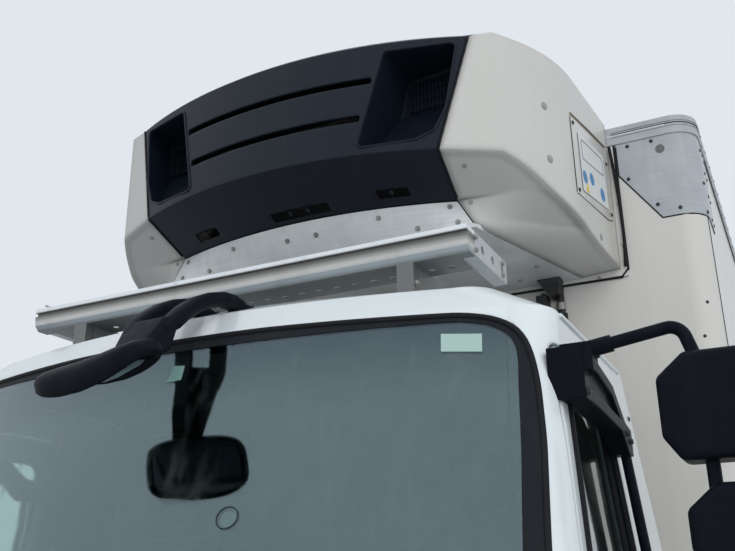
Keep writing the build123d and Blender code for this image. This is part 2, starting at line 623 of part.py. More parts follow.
def cab_shell(outer, inner):
    shell = outer - inner
    tunnel = block(-345, 345, FRONT + 168, WALL_Y - 580, CAB_FLOOR_Z - 1, 1135)
    shell += tunnel & outer
    shell -= block(-325, 325, FRONT + 190, WALL_Y - 565, CAB_FLOOR_Z - 10, 1115)
    low = CAB_SECTIONS[0]
    ring = []
    for inset in (0, 20):
        section = level_section(low[1] - inset, low[2] + inset, low[3] + inset, low[3] + 400, CAB_CORNER_R - inset,
                                CAB_FLOOR_Z - SKIRT_DROP)
        ring.append(extrude(section, amount=SKIRT_DROP + 1, dir=(0, 0, 1)))
    skirt = ring[0] - ring[1]
    for side in (-1, 1):
        skirt -= block(side * 316, side * 396, FRONT, TILT_Y + 60, CAB_FLOOR_Z - SKIRT_DROP - 1, CAB_FLOOR_Z)
    shell += skirt & block(-1300, 1300, FRONT, low[3] + 90, CAB_FLOOR_Z - SKIRT_DROP, CAB_FLOOR_Z + 1)
    opening = door_cut(0, CAB_T + 10)
    for cut in (opening, mirrored(opening), screen_cut(), front_panel_slots()):
        shell -= cut
    for side in (-1, 1):
        lug = block(side * 356, side * 380, TILT_Y - 20, TILT_Y + 22, TILT_Z - 26, CAB_FLOOR_Z + 8)
        lug -= rod((side * 350, TILT_Y, TILT_Z), (side * 384, TILT_Y, TILT_Z), TILT_PIN_R + RUN_GAP)
        shell += lug
    hinges = None
    for z in DOOR_HINGE_Z:
        x = side_x(z)
        pin = hinge_rod(z, -52, 52, DOOR_PIN_R) + hinge_rod(z, 34, 52, DOOR_BARREL_R)
        pin += hinge_rod(z, -52, -34, DOOR_BARREL_R)
        for low_z, high_z in ((z - 50, z - 36), (z + 36, z + 50)):
            pin += block(x - 20, x + DOOR_HINGE_OUT, DOOR_HINGE_Y - 46, DOOR_HINGE_Y, low_z, high_z)
        hinges = pin if hinges is None else hinges + pin
    return shell + both(hinges)


def cab_door(outer, inner):
    door = (outer - inner) & door_cut(-SWING_GAP)
    door -= window_cut()
    for z in DOOR_HINGE_Z:
        x = side_x(z)
        door += block(x - 20, x + DOOR_HINGE_OUT, DOOR_HINGE_Y, DOOR_HINGE_Y + 46, z - 26, z + 26)
        door += hinge_rod(z, -28, 28, DOOR_BARREL_R)
        door -= hinge_rod(z, -60, 60, DOOR_PIN_R + RUN_GAP)
    y, z = FRONT + 1020.0, 1340.0
    x = side_x(z)
    door -= block(x - 24, x + 30, y - 75, y + 55, z - 45, z + 35)
    return door + block(x - 25, x - 4, y - 65, y + 45, z + 6, z + 24)


def door_glass():
    pane = cab_solid(20) - cab_solid(26)
    return pane & window_cut(-SEAT_GAP)


def windscreen():
    pane = cab_solid(3) & prism(SCREEN_FRONT, "y", FRONT - 70, FRONT + 880, grow=-SEAT_GAP)
    return pane - cab_solid(12)


SEAT_X = 600.0
STEER_HUB = Vector(SEAT_X, FRONT + 550, 1530)
STEER_AXIS = Vector(0, 0.5, math.sqrt(0.75))
STEER_R = 215.0


def dashboard():
    rear = FRONT + 540
    form = cab_solid(CAB_T + 1) & block(-1000, 1000, FRONT + 80, rear, 1160, 1480)
    form -= prism([(rear + 1, 1140), (rear + 1, 1300), (rear - 220, 1160)], "x", -1001, 1001)
    column = rod(STEER_HUB - STEER_AXIS * 300, STEER_HUB - STEER_AXIS * 42, 32)
    return form + column - rod(STEER_HUB - STEER_AXIS * 96, STEER_HUB - STEER_AXIS * 40, 12 + RUN_GAP)


def steering_wheel():
    plane = Plane(origin=STEER_HUB, x_dir=(1, 0, 0), z_dir=STEER_AXIS)
    rim = revolve(Plane.XZ * Pos(STEER_R, 0) * Circle(15), axis=Axis.Z, revolution_arc=360)
    wheel = Pos(0, 0, -14) * Cylinder(62, 40) + Pos(0, 0, -60) * Cylinder(12, 64)
    wheel += Pos(0, 0, -6) * Box(2 * STEER_R, 46, 14)
    wheel += Pos(0, -STEER_R / 2, -6) * Box(46, STEER_R, 14)
    wheel += rim
    return plane * wheel


def seats():
    pair = None
    y = FRONT + 1290.0      # rear face of the backrest at the seat
    for side in (-1, 1):
        x = side * SEAT_X
        cushion = block(x - 240, x + 240, y - 500, y - 10, 1180, 1320)
        base = block(x - 190, x + 190, y - 420, y - 80, CAB_FLOOR_Z + CAB_T * 0.85 + SEAT_GAP, 1190)
        back = prism([(y - 120, 1300), (y, 1300), (y + 50, 1920), (y - 30, 1920)], "x", x - 235, x + 235)
        head = prism([(y - 28, 1940), (y + 50, 1940), (y + 60, 2120), (y - 10, 2120)], "x", x - 130, x + 130)
        neck = block(x - 60, x + 60, y - 10, y + 30, 1900, 1960)
        seat = cushion + base + back + head + neck
        pair = seat if pair is None else pair + seat
    return pair


# Mirrors and the light bar

MIRROR_Y = FRONT + 595.0        # the mirror's spine
MIRROR_HEADS = (        # inner x, outer x, bottom z, top z
    (1226.0, 1425.0, 1950.0, 2172.0),
    (1255.0, 1425.0, 1730.0, 1905.0),
)
BRACKET = (             # along the door's top, as distance from the spine and height
    (-30.0, 2100.0), (-30.0, 2218.0), (70.0, 2218.0), (275.0, 2185.0), (390.0, 2112.0), (455.0, 2102.0),
    (455.0, 2036.0), (407.0, 2036.0), (335.0, 2086.0), (95.0, 2099.0),
)


def side_mirror():
    """Left mirror set: the bracket along the door top, a bent tube with two heads and a stay down the door."""
    y = MIRROR_Y
    piece = prism([(y + d, z) for d, z in BRACKET], "x", 1000, 1080)
    piece -= prism([(y + 10, 2130), (y + 10, 2190), (y + 70, 2190), (y + 255, 2160), (y + 340, 2112), (y + 100, 2128)],
                   "x", 1068, 1100)
    piece += block(1030, 1100, y - 26, y + 30, 2160, 2224)
    foot = side_x(1410)
    piece += pipe([(1068, y, 2208), (1285, y, 2241), (1312, y, 2150), (1312, y, 1690), (1180, y, 1440),
                   (foot + 10, y, 1410)], 34, 14)
    piece += rod((1085, y, 2211), (1140, y, 2219), 19)
    stay = y + 437
    piece += pipe([(side_x(2075) + 33, stay, 2075), (side_x(1445) + 33, stay, 1445), (foot + 10, stay, 1415)], 16, 13)
    for place in (y, stay):
        piece += block(foot - 20, foot + 14, place - 24, place + 24, 1384, 1440)
    for x0, x1, z0, z1 in MIRROR_HEADS:
        y0, y1 = y - 52, y + 34
        head = prism([(x0 + 34, z0), (x1, z0), (x1, z1), (x0 + 60, z1), (x0, z1 - 50), (x0, z0 + 50)], "y", y0, y1,
                     radius=22)
        head = fillet(head.faces().sort_by(Axis.Y)[0].edges(), 20)
        head -= block(x0 + 34, x1 - 14, y1 - 8, y1 + 1, z0 + 14, z1 - 34)
        piece += head
    return piece


def kerb_mirror():
    """Passenger side kerb mirror, hung on the bracket over the window."""
    y = MIRROR_Y + 185
    head = block(1100, 1250, y - 60, y + 60, 2230, 2320)
    head = fillet(head.edges().filter_by(Axis.Y), 24)
    stem = pipe([(1060, y, 2150), (1060, y, 2275), (1130, y, 2275)], 20, 12)
    return mirrored(head + stem)


LOOKDOWN = Vector(-50, FRONT + 280, 2228)
LOOKDOWN_ARMS = (15.0, 140.0)
INNER_MIRROR = Vector(165, FRONT + 430, 2014)


def front_mirror():
    """The look-down mirror before the screen: a thin dished head on two curved arms from the roof."""
    plane = Plane(origin=LOOKDOWN, x_dir=(0.995, 0, 0.1), z_dir=(-0.09, -0.44, 0.9))
    dome = scale(Sphere(100), by=(2.15, 0.95, 0.42)) - Pos(0, 0, -60) * Box(600, 400, 100)
    piece = plane * dome
    y, z = LOOKDOWN.Y, LOOKDOWN.Z
    piece += prism([(y - 30, z + 22), (y + 60, z + 30), (y + 62, z + 120), (y + 20, z + 136), (y - 14, z + 92)], "x",
                   LOOKDOWN_ARMS[0] - 24, LOOKDOWN_ARMS[1] + 24)
    roof_y, roof_z = FRONT + 600, 2436.0
    for x in LOOKDOWN_ARMS:
        piece += pipe([(x, y + 20, z + 95), (x, y + 78, z + 190), (x, y + 180, z + 242), (x, roof_y - 40, z + 238),
                       (x, roof_y, roof_z - 10)], 34, 16)
        piece += block(x - 26, x + 26, roof_y - 40, roof_y + 40, roof_z - 40, roof_z + 16)
    return piece


def inner_mirror():
    """The rear-view mirror behind the glass, on a forked bracket under the screen's header."""
    x, y, z = INNER_MIRROR.X, INNER_MIRROR.Y, INNER_MIRROR.Z
    top = SCREEN_HALF[-1][1] - SEAT_GAP
    head = prism([(x - 150, z - 62), (x + 150, z - 74), (x + 165, z + 50), (x + 140, z + 74), (x - 140, z + 74),
                  (x - 165, z + 40)], "y", y - 20, y + 24, radius=22)
    head -= block(x - 150, x + 150, y + 20, y + 25, z - 55, z + 60)
    fork = prism([(x - 46, z + 60), (x + 46, z + 60), (x + 90, top), (x - 96, top)], "y", y - 80, y + 110)
    fork -= prism([(x - 30, z + 225), (x + 36, z + 225), (x + 48, top + 1), (x - 56, top + 1)], "y", y - 81, y + 111)
    fork &= prism([(y - 4, z + 60), (y + 10, z + 60), (y + 84, top), (y + 68, top)], "x", x - 200, x + 200)
    return head + fork


BAR_X = 775.0
BAR_Y = (FRONT + 720.0, FRONT + 780.0)
BAR_Z = (2555.0, 2629.0)


def light_bar():
    """An aluminium roof bar on two feet, with end channels and a perforated step plate."""
    x, (y0, y1), (z0, z1) = BAR_X, BAR_Y, BAR_Z
    bar = prism([(y0, z1), (y0, z1 - 14), (y0 + 10, z1 - 16), (y0 + 10, z1 - 26), (y0, z1 - 28), (y0 + 4, z0 + 16),
                 (y0 + 20, z0), (y1, z0), (y1, z1)], "x", -x, x)
    for side in (-1, 1):
        channel = block(side * (x - 40), side * x, y1 - 1, y0 + 330, z0 + 5, z1)
        channel -= block(side * (x - 41), side * (x - 4), y1 - 2, y0 + 331, z0 + 9, z1 - 4)
        for hole in range(3):
            y = y1 + 60 + hole * 85
            channel -= rod((side * (x - 10), y, z0 + 38), (side * (x + 5), y, z0 + 38), 12)
        bar += channel
        bar += block(side * 560, side * 610, y0 + 20, y0 + 260, 2380, z0 + 6)
    plate = block(-x + 41, x - 41, y1 - 1, y0 + 150, z0, z0 + 4)
    for column in range(24):
        centre = -690 + column * 60
        plate -= rod((centre, y1 + 45, z0 - 2), (centre, y1 + 45, z0 + 8), 11)
    return bar + plate


# Load box

BEARER_H = BOX_FLOOR_Z - RAIL_TOP - SEAT_GAP
BEARERS = 12
FRAME_Y1 = DOOR_FACE_Y - REAR_DOOR_T - 6.0          # rear face of the rear frame
FRAME_Y0 = FRAME_Y1 - REAR_FRAME_D


def box_plan(out, y1):
    """The box's plan outline with round front corners, grown outwards by a distance."""
    half, front, r = BOX_HALF_W + out, WALL_Y - out, BOX_CORNER_R + out
    s = r * 0.7071
    return make_face([
        Line((-half, y1), (half, y1)),
        Line((half, y1), (half, front + r)),
        ThreePointArc((half, front + r), (half - r + s, front + r - s), (half - r, front)),
        Line((half - r, front), (-half + r, front)),
        ThreePointArc((-half + r, front), (-half + r - s, front + r - s), (-half, front + r)),
        Line((-half, front + r), (-half, y1)),
    ])


def box_slab(out, y1, z0, z1):
    return Pos(0, 0, z0) * extrude(box_plan(out, y1), amount=z1 - z0, dir=(0, 0, 1))


INNER_X = BOX_HALF_W - SIDE_T
INNER_FRONT = WALL_Y + FRONT_WALL_T
CEILING = BOX_TOP - ROOF_T


def bearer_y(i):
    return INNER_FRONT + 60 + i * (FRAME_Y0 - 120 - (INNER_FRONT + 60)) / (BEARERS - 1)


def nearest_bearer(y):
    return min((bearer_y(i) for i in range(BEARERS)), key=lambda place: abs(place - y))


def box_floor():
    floor = block(-INNER_X + SEAT_GAP, INNER_X - SEAT_GAP, INNER_FRONT + SEAT_GAP, FRAME_Y0 - SEAT_GAP,
                  BOX_FLOOR_Z, BOX_FLOOR_Z + FLOOR_T)
    for i in range(BEARERS):
        y = bearer_y(i)
        floor += block(-BEARER_END, BEARER_END, y - 22, y + 22, BOX_FLOOR_Z - BEARER_H, BOX_FLOOR_Z + 1)
    return floor


def box_side_walls():
    wall = block(INNER_X, BOX_HALF_W, INNER_FRONT + SEAT_GAP, FRAME_Y0 - SEAT_GAP, BOX_FLOOR_Z, CEILING - SEAT_GAP)
    return both(wall)


def box_front_wall():
    return box_slab(0, INNER_FRONT, BOX_FLOOR_Z, CEILING - SEAT_GAP)


def box_roof():
    return box_slab(0, FRAME_Y0 - SEAT_GAP, CEILING, BOX_TOP)


CAP_LOW = BOX_TOP - 415.0
CAP_FRONT = (
    (BOX_HALF_W - 292.0, BOX_TOP - 50.0), (BOX_HALF_W - 292.0, BOX_TOP - 210.0), (BOX_HALF_W - 152.0, CAP_LOW),
    (BOX_HALF_W + 28.0, CAP_LOW), (BOX_HALF_W + 28.0, BOX_TOP - 50.0),
)


def box_rails():
    """Aluminium rails round the top and bottom edges and the front corner caps."""
    band0, band1 = BOX_TOP - RAIL_BAND_H, BOX_TOP
    y1 = FRAME_Y0 - SEAT_GAP
    rails = box_slab(RAIL_PROUD, y1, band0, band1) - box_slab(SEAT_GAP, y1 + 1, band0 - 1, band1 + 1)
    low = box_slab(RAIL_PROUD, y1, BOX_FLOOR_Z - 30, BOX_FLOOR_Z + 90) - box_slab(
        SEAT_GAP, y1 + 1, BOX_FLOOR_Z - 31, BOX_FLOOR_Z + 91)
    sheet = box_slab(3.5, WALL_Y + 260, CAP_LOW, band0 + 1) - box_slab(
        SEAT_GAP, WALL_Y + 261, CAP_LOW - 1, band0 + 2)
    cap = sheet & prism(CAP_FRONT, "y", WALL_Y - 20, WALL_Y + 300)
    return rails + low + cap + mirrored(cap)


def rear_frame():
    """The door frame: posts, header and sill, with the hinge lugs on its sides."""
    frame = block(-BOX_HALF_W, BOX_HALF_W, FRAME_Y0, FRAME_Y1, BOX_FLOOR_Z - 30, BOX_TOP)
    frame -= block(-BOX_HALF_W + REAR_POST_W, BOX_HALF_W - REAR_POST_W, FRAME_Y0 - 1, FRAME_Y1 + 1,
                   BOX_FLOOR_Z + FLOOR_T, CEILING - 20)
    lugs = None
    for z in HINGE_HEIGHTS:
        lug = block(HINGE_X - 9, HINGE_X + 5, FRAME_Y0 + 5, HINGE_Y, z - 20, z + 20)
        lug += rod((HINGE_X, HINGE_Y, z - 20), (HINGE_X, HINGE_Y, z + 20), 14)
        lug -= rod((HINGE_X, HINGE_Y, z - 21), (HINGE_X, HINGE_Y, z + 21), 8 + RUN_GAP)
        lugs = lug if lugs is None else lugs + lug
    return frame + both(lugs)


REAR_DOOR_X = (7.5, BOX_HALF_W - 12.0)
REAR_DOOR_Z = (BOX_FLOOR_Z + 15.0, BOX_TOP - 10.0)


def rear_door():
    """Left rear door with recessed lock rods, their keepers and handle, and its hinge straps."""
    (x0, x1), (z0, z1) = REAR_DOOR_X, REAR_DOOR_Z
    face = DOOR_FACE_Y
    door = block(x0, x1, face - REAR_DOOR_T, face, z0, z1)
    for x in LOCK_ROD_X:
        door -= block(x - 34, x + 34, face - 44, face + 1, z0 - 1, z1 + 1)
        door += rod((x, face - 18, z0 + 12), (x, face - 18, z1 - 12), 13)
        for z in (z0 + 60, z0 + 700, z1 - 940, z1 - 60):
            door += block(x - 35, x + 35, face - 45, face - 2, z - 18, z + 18)
        door += block(x - 22, x + 200, face - 14, face + 6, z0 + 400, z0 + 436)
    for z in HINGE_HEIGHTS:
        door += rod((HINGE_X, HINGE_Y, z - 46), (HINGE_X, HINGE_Y, z + 46), 8)
        for s in (-1, 1):
            door += block(BOX_HALF_W - 112, HINGE_X + 7, face - 1, face + 14, z + s * 26, z + s * 46)
    return door


# Cooling unit

def unit_cover_cut(grow=0.0):
    return prism(UNIT_COVER, "y", UNIT_BACK - 1100, UNIT_BACK - 500, grow=grow)


def unit_pan_cut(grow=0.0):
    """Where the pan is: its floor seen from above and its front flange seen from the front."""
    flange = prism(UNIT_FLANGE, "y", UNIT_BACK - 1100, UNIT_BACK - 600, grow=grow)
    floor = prism(UNIT_FLOOR, "z", UNIT_BOTTOM - 40, UNIT_BOTTOM + UNIT_SKIN + 1, grow=grow)
    return flange + floor


def intake_cut(grow=0.0):
    """A deep corner intake: its outline seen from the front, with a ramp that rises to the deep part."""
    outline = [(x, UNIT_BOTTOM + z) for x, z in INTAKE]
    b, z = UNIT_BACK, UNIT_BOTTOM
    profile = [(b - 1100, z + 200), (b - 1100, z + 640), (b - 700, z + 640), (b - 700, z + 450), (b - 850, z + 226)]
    return prism(outline, "y", b - 1100, b - 600, radius=16, grow=grow) & prism(profile, "x", 200, 800, grow=grow)


def unit_front_cover(outer, inner):
    """The moulded front: two corner intakes, two long slots and three bolt pockets in the part that turns under."""
    cover = (outer - inner) & unit_cover_cut(-UNIT_SEAM / 2)
    cover -= block(-1000, 1000, UNIT_BACK - 1100, UNIT_BACK, UNIT_BOTTOM - 60, UNIT_LIP_Z + UNIT_SEAM / 2)
    tub = intake_cut(INTAKE_WALL) & outer
    cover += tub + mirrored(tub)
    cover -= both(intake_cut())
    for height, half in SLOTS:
        z = UNIT_BOTTOM + height
        slot = [(-half, z - SLOT_H / 2), (half, z - SLOT_H / 2), (half, z + SLOT_H / 2), (-half, z + SLOT_H / 2)]
        cover -= prism(slot, "y", UNIT_BACK - 1100, UNIT_BACK - 890, radius=8)
    for x, width, height in POCKETS:
        z = UNIT_BOTTOM + height
        pocket = [(x - width / 2, z - 9), (x + width / 2, z - 9), (x + width / 2, z + 9), (x - width / 2, z + 9)]
        cover -= prism(pocket, "y", UNIT_BACK - 1100, UNIT_BACK - 640, radius=5)
    return cover


def unit_side_shells(outer, inner):
    return outer - inner - unit_cover_cut(UNIT_SEAM / 2) - unit_pan_cut(UNIT_SEAM / 2)


def unit_base_pan(outer, inner):
    return (outer - inner) & unit_pan_cut(-UNIT_SEAM / 2)


PIPE_X = (728.0, 662.0)
PIPE_R = (14.0, 9.0)


def unit_core():
    """The unit's engine, coils and fans as one plain block on its wall flange, with its drain and pipes."""
    top = BOX_TOP - RAIL_BAND_H - 5
    wall = WALL_Y - SEAT_GAP
    core = block(-520, 520, WALL_Y - 560, wall, UNIT_BOTTOM + UNIT_SKIN + SEAT_GAP, top)
    core += block(-990, 990, UNIT_BACK + SEAT_GAP, wall, UNIT_BOTTOM - 18, top)
    low = BOX_FLOOR_Z + 110
    for x, r in zip(PIPE_X, PIPE_R):
        core += rod((x, wall - r, low), (x, wall - r, UNIT_BOTTOM - 40), r)
        for i in range(4):
            z = low + 60 + i * (UNIT_BOTTOM - low - 200) / 3
            core += block(x - r - 16, x + r + 5, wall - r, wall, z - 11, z + 11)
    z = UNIT_BOTTOM - SEAT_GAP
    core += prism([(655, z), (745, z), (735, z - 62), (700, z - 72)], "y", wall - 72, wall)
    core += block(640, 684, wall - 46, wall, z - 100, z - 55)
    return core


# Everything is built and written out here.

os.makedirs("parts", exist_ok=True)
OUTER = cab_solid(0)
INNER = cab_solid(CAB_T)
UNIT_OUTER = unit_solid(0)
UNIT_INNER = unit_solid(UNIT_SKIN)
DOOR = cab_door(OUTER, INNER)
GLASS = door_glass()
LEFT_MIRROR = side_mirror() - cab_solid(-SEAT_GAP)
BAR = light_bar() - cab_solid(-SEAT_GAP)
FRONT_MIRROR = front_mirror() - cab_solid(-SEAT_GAP)
FRONT_RIM = Pos(FRONT_TRACK_HALF, FRONT_AXLE_Y, TYRE_R) * front_rim()
REAR_RIMS = Pos(REAR_TRACK_HALF, REAR_AXLE_Y, TYRE_R) * rear_rims()
FRONT_TYRE = tyre(FRONT_TRACK_HALF, FRONT_AXLE_Y)
REAR_TYRES = tyre(REAR_TRACK_HALF - TWIN_HALF, REAR_AXLE_Y) + tyre(REAR_TRACK_HALF + TWIN_HALF, REAR_AXLE_Y)
KNUCKLE = knuckle()
REAR_DOOR = rear_door()

NODES = {
    "frame_rails": frame_rails(),
    "front_axle_beam": front_axle_beam(),
    "rear_axle": rear_axle(),
    "leaf_springs": leaf_springs(),
    "engine_block": engine_block(),
    "propshaft": propshaft(),
    "guard_bars": side_guards() + rear_bumper(),
    "lamps": lamps(),
    "fuel_tank": side_box(*FUEL_TANK),
    "side_boxes": side_box(*SIDE_BOXES[0]) + side_box(*SIDE_BOXES[1]),
    "mudguards": mudguards(),
    "front_bumper": front_bumper(),
    "entry_steps": entry_steps(),
    "box_floor": box_floor(),
    "box_side_walls": box_side_walls(),
    "box_front_wall": box_front_wall(),
    "box_roof": box_roof(),
    "box_rails": box_rails(),
    "rear_frame": rear_frame(),
    "unit_front_cover": unit_front_cover(UNIT_OUTER, UNIT_INNER),
    "unit_side_shells": unit_side_shells(UNIT_OUTER, UNIT_INNER),
    "unit_base_pan": unit_base_pan(UNIT_OUTER, UNIT_INNER),
    "unit_core": unit_core(),
    "cab_shell": cab_shell(OUTER, INNER),
    "windscreen": windscreen(),
    "dashboard": dashboard(),
    "steering_wheel": steering_wheel(),
    "seats": seats(),
    "light_bar": BAR,
    "front_mirror": FRONT_MIRROR + inner_mirror(),
    "door_left": DOOR,
    "door_right": mirrored(DOOR),
    "door_glass_left": GLASS,
    "door_glass_right": mirrored(GLASS),
    "mirror_left": LEFT_MIRROR,
    "mirror_right": mirrored(LEFT_MIRROR) + kerb_mirror(),
    "knuckle_left": KNUCKLE,
    "knuckle_right": mirrored(KNUCKLE),
    "rim_front_left": FRONT_RIM,
    "rim_front_right": mirrored(FRONT_RIM),
    "tyre_front_left": FRONT_TYRE,
    "tyre_front_right": mirrored(FRONT_TYRE),
    "rims_rear_left": REAR_RIMS,
    "rims_rear_right": mirrored(REAR_RIMS),
    "tyres_rear_left": REAR_TYRES,
    "tyres_rear_right": mirrored(REAR_TYRES),
    "rear_door_left": REAR_DOOR,
    "rear_door_right": mirrored(REAR_DOOR),
}
for name, shape in NODES.items():
    export_step(shape, f"parts/{name}.step")
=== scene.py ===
import math

import bmesh
import bpy
from mathutils import Matrix, Vector
from mathutils.bvhtree import BVHTree


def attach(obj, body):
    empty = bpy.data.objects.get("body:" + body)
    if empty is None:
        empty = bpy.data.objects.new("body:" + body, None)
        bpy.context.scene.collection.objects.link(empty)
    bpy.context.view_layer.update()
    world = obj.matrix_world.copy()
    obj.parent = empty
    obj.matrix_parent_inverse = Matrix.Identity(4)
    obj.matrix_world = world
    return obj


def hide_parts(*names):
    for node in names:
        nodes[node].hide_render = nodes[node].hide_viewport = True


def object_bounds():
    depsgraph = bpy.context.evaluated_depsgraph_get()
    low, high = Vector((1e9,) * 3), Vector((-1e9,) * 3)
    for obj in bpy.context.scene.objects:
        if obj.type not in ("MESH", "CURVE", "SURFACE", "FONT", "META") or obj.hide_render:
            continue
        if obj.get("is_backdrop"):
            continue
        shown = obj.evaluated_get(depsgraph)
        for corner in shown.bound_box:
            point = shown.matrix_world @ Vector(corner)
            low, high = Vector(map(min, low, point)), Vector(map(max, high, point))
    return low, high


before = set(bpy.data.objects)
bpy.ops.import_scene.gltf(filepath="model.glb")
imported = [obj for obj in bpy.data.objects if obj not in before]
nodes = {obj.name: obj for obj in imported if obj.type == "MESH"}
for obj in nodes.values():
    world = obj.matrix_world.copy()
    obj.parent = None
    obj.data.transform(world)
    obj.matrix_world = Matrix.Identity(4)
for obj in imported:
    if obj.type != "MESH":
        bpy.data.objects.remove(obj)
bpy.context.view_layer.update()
scene = bpy.context.scene
scene.view_settings.view_transform = "Standard"

# Viewpoint: a person standing close in front of the truck and looking up at the cooling unit.
# The eye is 1.7 m over the floor, 1.3 m ahead of the bumper and 1.49 m to the truck's left.
EYE = Vector((1.49, -5.18, 1.70))
FOCAL_PX = 875.0
FRAME_PX = 735.0
PITCH, TURN, ROLL = (math.radians(a) for a in (20.24, 26.54, -0.62))
ahead = Vector((-math.sin(TURN), math.cos(TURN), 0.0))
level_right = Vector((math.cos(TURN), math.sin(TURN), 0.0))
look = ahead * math.cos(PITCH) + Vector((0, 0, math.sin(PITCH)))
level_up = -ahead * math.sin(PITCH) + Vector((0, 0, math.cos(PITCH)))
cam_right = level_right * math.cos(ROLL) + level_up * math.sin(ROLL)
cam_up = -level_right * math.sin(ROLL) + level_up * math.cos(ROLL)
camera_data = bpy.data.cameras.new("eye")
camera_data.sensor_width = 36.0
camera_data.lens = 36.0 * FOCAL_PX / FRAME_PX
camera_data.clip_end = 200.0
camera = bpy.data.objects.new("eye", camera_data)
scene.collection.objects.link(camera)
turn = Matrix((cam_right, cam_up, -look)).transposed().to_4x4()
camera.matrix_world = Matrix.Translation(EYE) @ turn
scene.camera = camera

# Studio: a pale floor under an even overcast dome, with one broad soft lamp from the front left.
# The dome is a pale grey to the camera, to gloss and through glass, and a little weaker as light.
SKY_SEEN = (0.75, 0.80, 0.85, 1.0)
SKY_LIGHT = 0.62
world = bpy.data.worlds.new("overcast")
scene.world = world
world.use_nodes = True
sky = world.node_tree
sky.nodes.clear()
path = sky.nodes.new("ShaderNodeLightPath")
seen = sky.nodes.new("ShaderNodeBackground")
seen.inputs["Color"].default_value = SKY_SEEN
lighting = sky.nodes.new("ShaderNodeBackground")
lighting.inputs["Color"].default_value = (0.93, 0.96, 1.0, 1.0)
lighting.inputs["Strength"].default_value = SKY_LIGHT
either = sky.nodes.new("ShaderNodeMath")
either.operation = "MAXIMUM"
either_all = sky.nodes.new("ShaderNodeMath")
either_all.operation = "MAXIMUM"
sky.links.new(path.outputs["Is Camera Ray"], either.inputs[0])
sky.links.new(path.outputs["Is Glossy Ray"], either.inputs[1])
sky.links.new(either.outputs[0], either_all.inputs[0])
sky.links.new(path.outputs["Is Transmission Ray"], either_all.inputs[1])
dome = sky.nodes.new("ShaderNodeMixShader")
sky.links.new(either_all.outputs[0], dome.inputs[0])
sky.links.new(lighting.outputs[0], dome.inputs[1])
sky.links.new(seen.outputs[0], dome.inputs[2])
sky.links.new(dome.outputs[0], sky.nodes.new("ShaderNodeOutputWorld").inputs["Surface"])

lamp_data = bpy.data.lights.new("soft_lamp", "AREA")
lamp_data.shape = "DISK"
lamp_data.size = 9.0
lamp_data.energy = 430.0
lamp = bpy.data.objects.new("soft_lamp", lamp_data)
scene.collection.objects.link(lamp)
lamp.visible_glossy = False
lamp.visible_transmission = False
lamp.location = (5.6, -8.6, 5.8)
lamp.rotation_euler = (Vector((0, 0, 1.5)) - lamp.location).to_track_quat("-Z", "Y").to_euler()

floor_bm = bmesh.new()
bmesh.ops.create_grid(floor_bm, x_segments=1, y_segments=1, size=30.0)
floor_mesh = bpy.data.meshes.new("studio_floor")
floor_bm.to_mesh(floor_mesh)
floor = bpy.data.objects.new("studio_floor", floor_mesh)
scene.collection.objects.link(floor)
floor_paint = bpy.data.materials.new("pale_floor")
floor_paint.use_nodes = True
floor_shader = floor_paint.node_tree.nodes["Principled BSDF"]
floor_shader.inputs["Base Color"].default_value = (0.62, 0.63, 0.64, 1.0)
floor_shader.inputs["Roughness"].default_value = 0.85
floor.data.materials.append(floor_paint)
floor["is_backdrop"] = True


# Ladder frame, axles and springs: pressed steel channels and castings, sprayed satin black after riveting.
# Road film lies on everything near the ground, so each finish of the truck is mixed with it by height.
def new_group(name, inputs, outputs):
    group = bpy.data.node_groups.new(name, "ShaderNodeTree")
    for label, kind in inputs:
        group.interface.new_socket(name=label, in_out="INPUT", socket_type=kind)
    for label, kind in outputs:
        group.interface.new_socket(name=label, in_out="OUTPUT", socket_type=kind)
    return group, group.nodes.new("NodeGroupInput"), group.nodes.new("NodeGroupOutput")


def sums(tree, operation, first, second):
    """One arithmetic node; a number goes on its socket and anything else is linked to it."""
    node = tree.nodes.new("ShaderNodeMath")
    node.operation = operation
    node.use_clamp = operation in ("MULTIPLY_ADD", "MAXIMUM")
    for socket, value in zip(node.inputs, (first, second)):
        if isinstance(value, (int, float)):
            socket.default_value = value
        else:
            tree.links.new(value, socket)
    return node.outputs[0]


def noise(tree, place, scale, detail=3.0, rough=0.55):
    node = tree.nodes.new("ShaderNodeTexNoise")
    node.inputs["Scale"].default_value = scale
    node.inputs["Detail"].default_value = detail
    node.inputs["Roughness"].default_value = rough
    tree.links.new(place, node.inputs["Vector"])
    return node.outputs["Fac"]


def spread(tree, value, low, high, to_low=0.0, to_high=1.0):
    node = tree.nodes.new("ShaderNodeMapRange")
    node.clamp = True
    tree.links.new(value, node.inputs["Value"])
    for label, number in (("From Min", low), ("From Max", high), ("To Min", to_low), ("To Max", to_high)):
        if isinstance(number, (int, float)):
            node.inputs[label].default_value = number
        else:
            tree.links.new(number, node.inputs[label])
    return node.outputs["Result"]


def stretched(tree, place, scale):
    node = tree.nodes.new("ShaderNodeMapping")
    node.inputs["Scale"].default_value = scale
    tree.links.new(place, node.inputs["Vector"])
    return node.outputs["Vector"]


def blended(tree, mask, first, second, how="MIX"):
    node = tree.nodes.new("ShaderNodeMix")
    node.data_type = "RGBA"
    node.blend_type = how
    for socket, value in ((node.inputs["Factor"], mask), (node.inputs["A"], first),
                          (node.inputs["B"], second)):
        if isinstance(value, (int, float)):
            socket.default_value = value
        elif isinstance(value, tuple):
            socket.default_value = (*value, 1.0)
        else:
            tree.links.new(value, socket)
    return node.outputs["Result"]


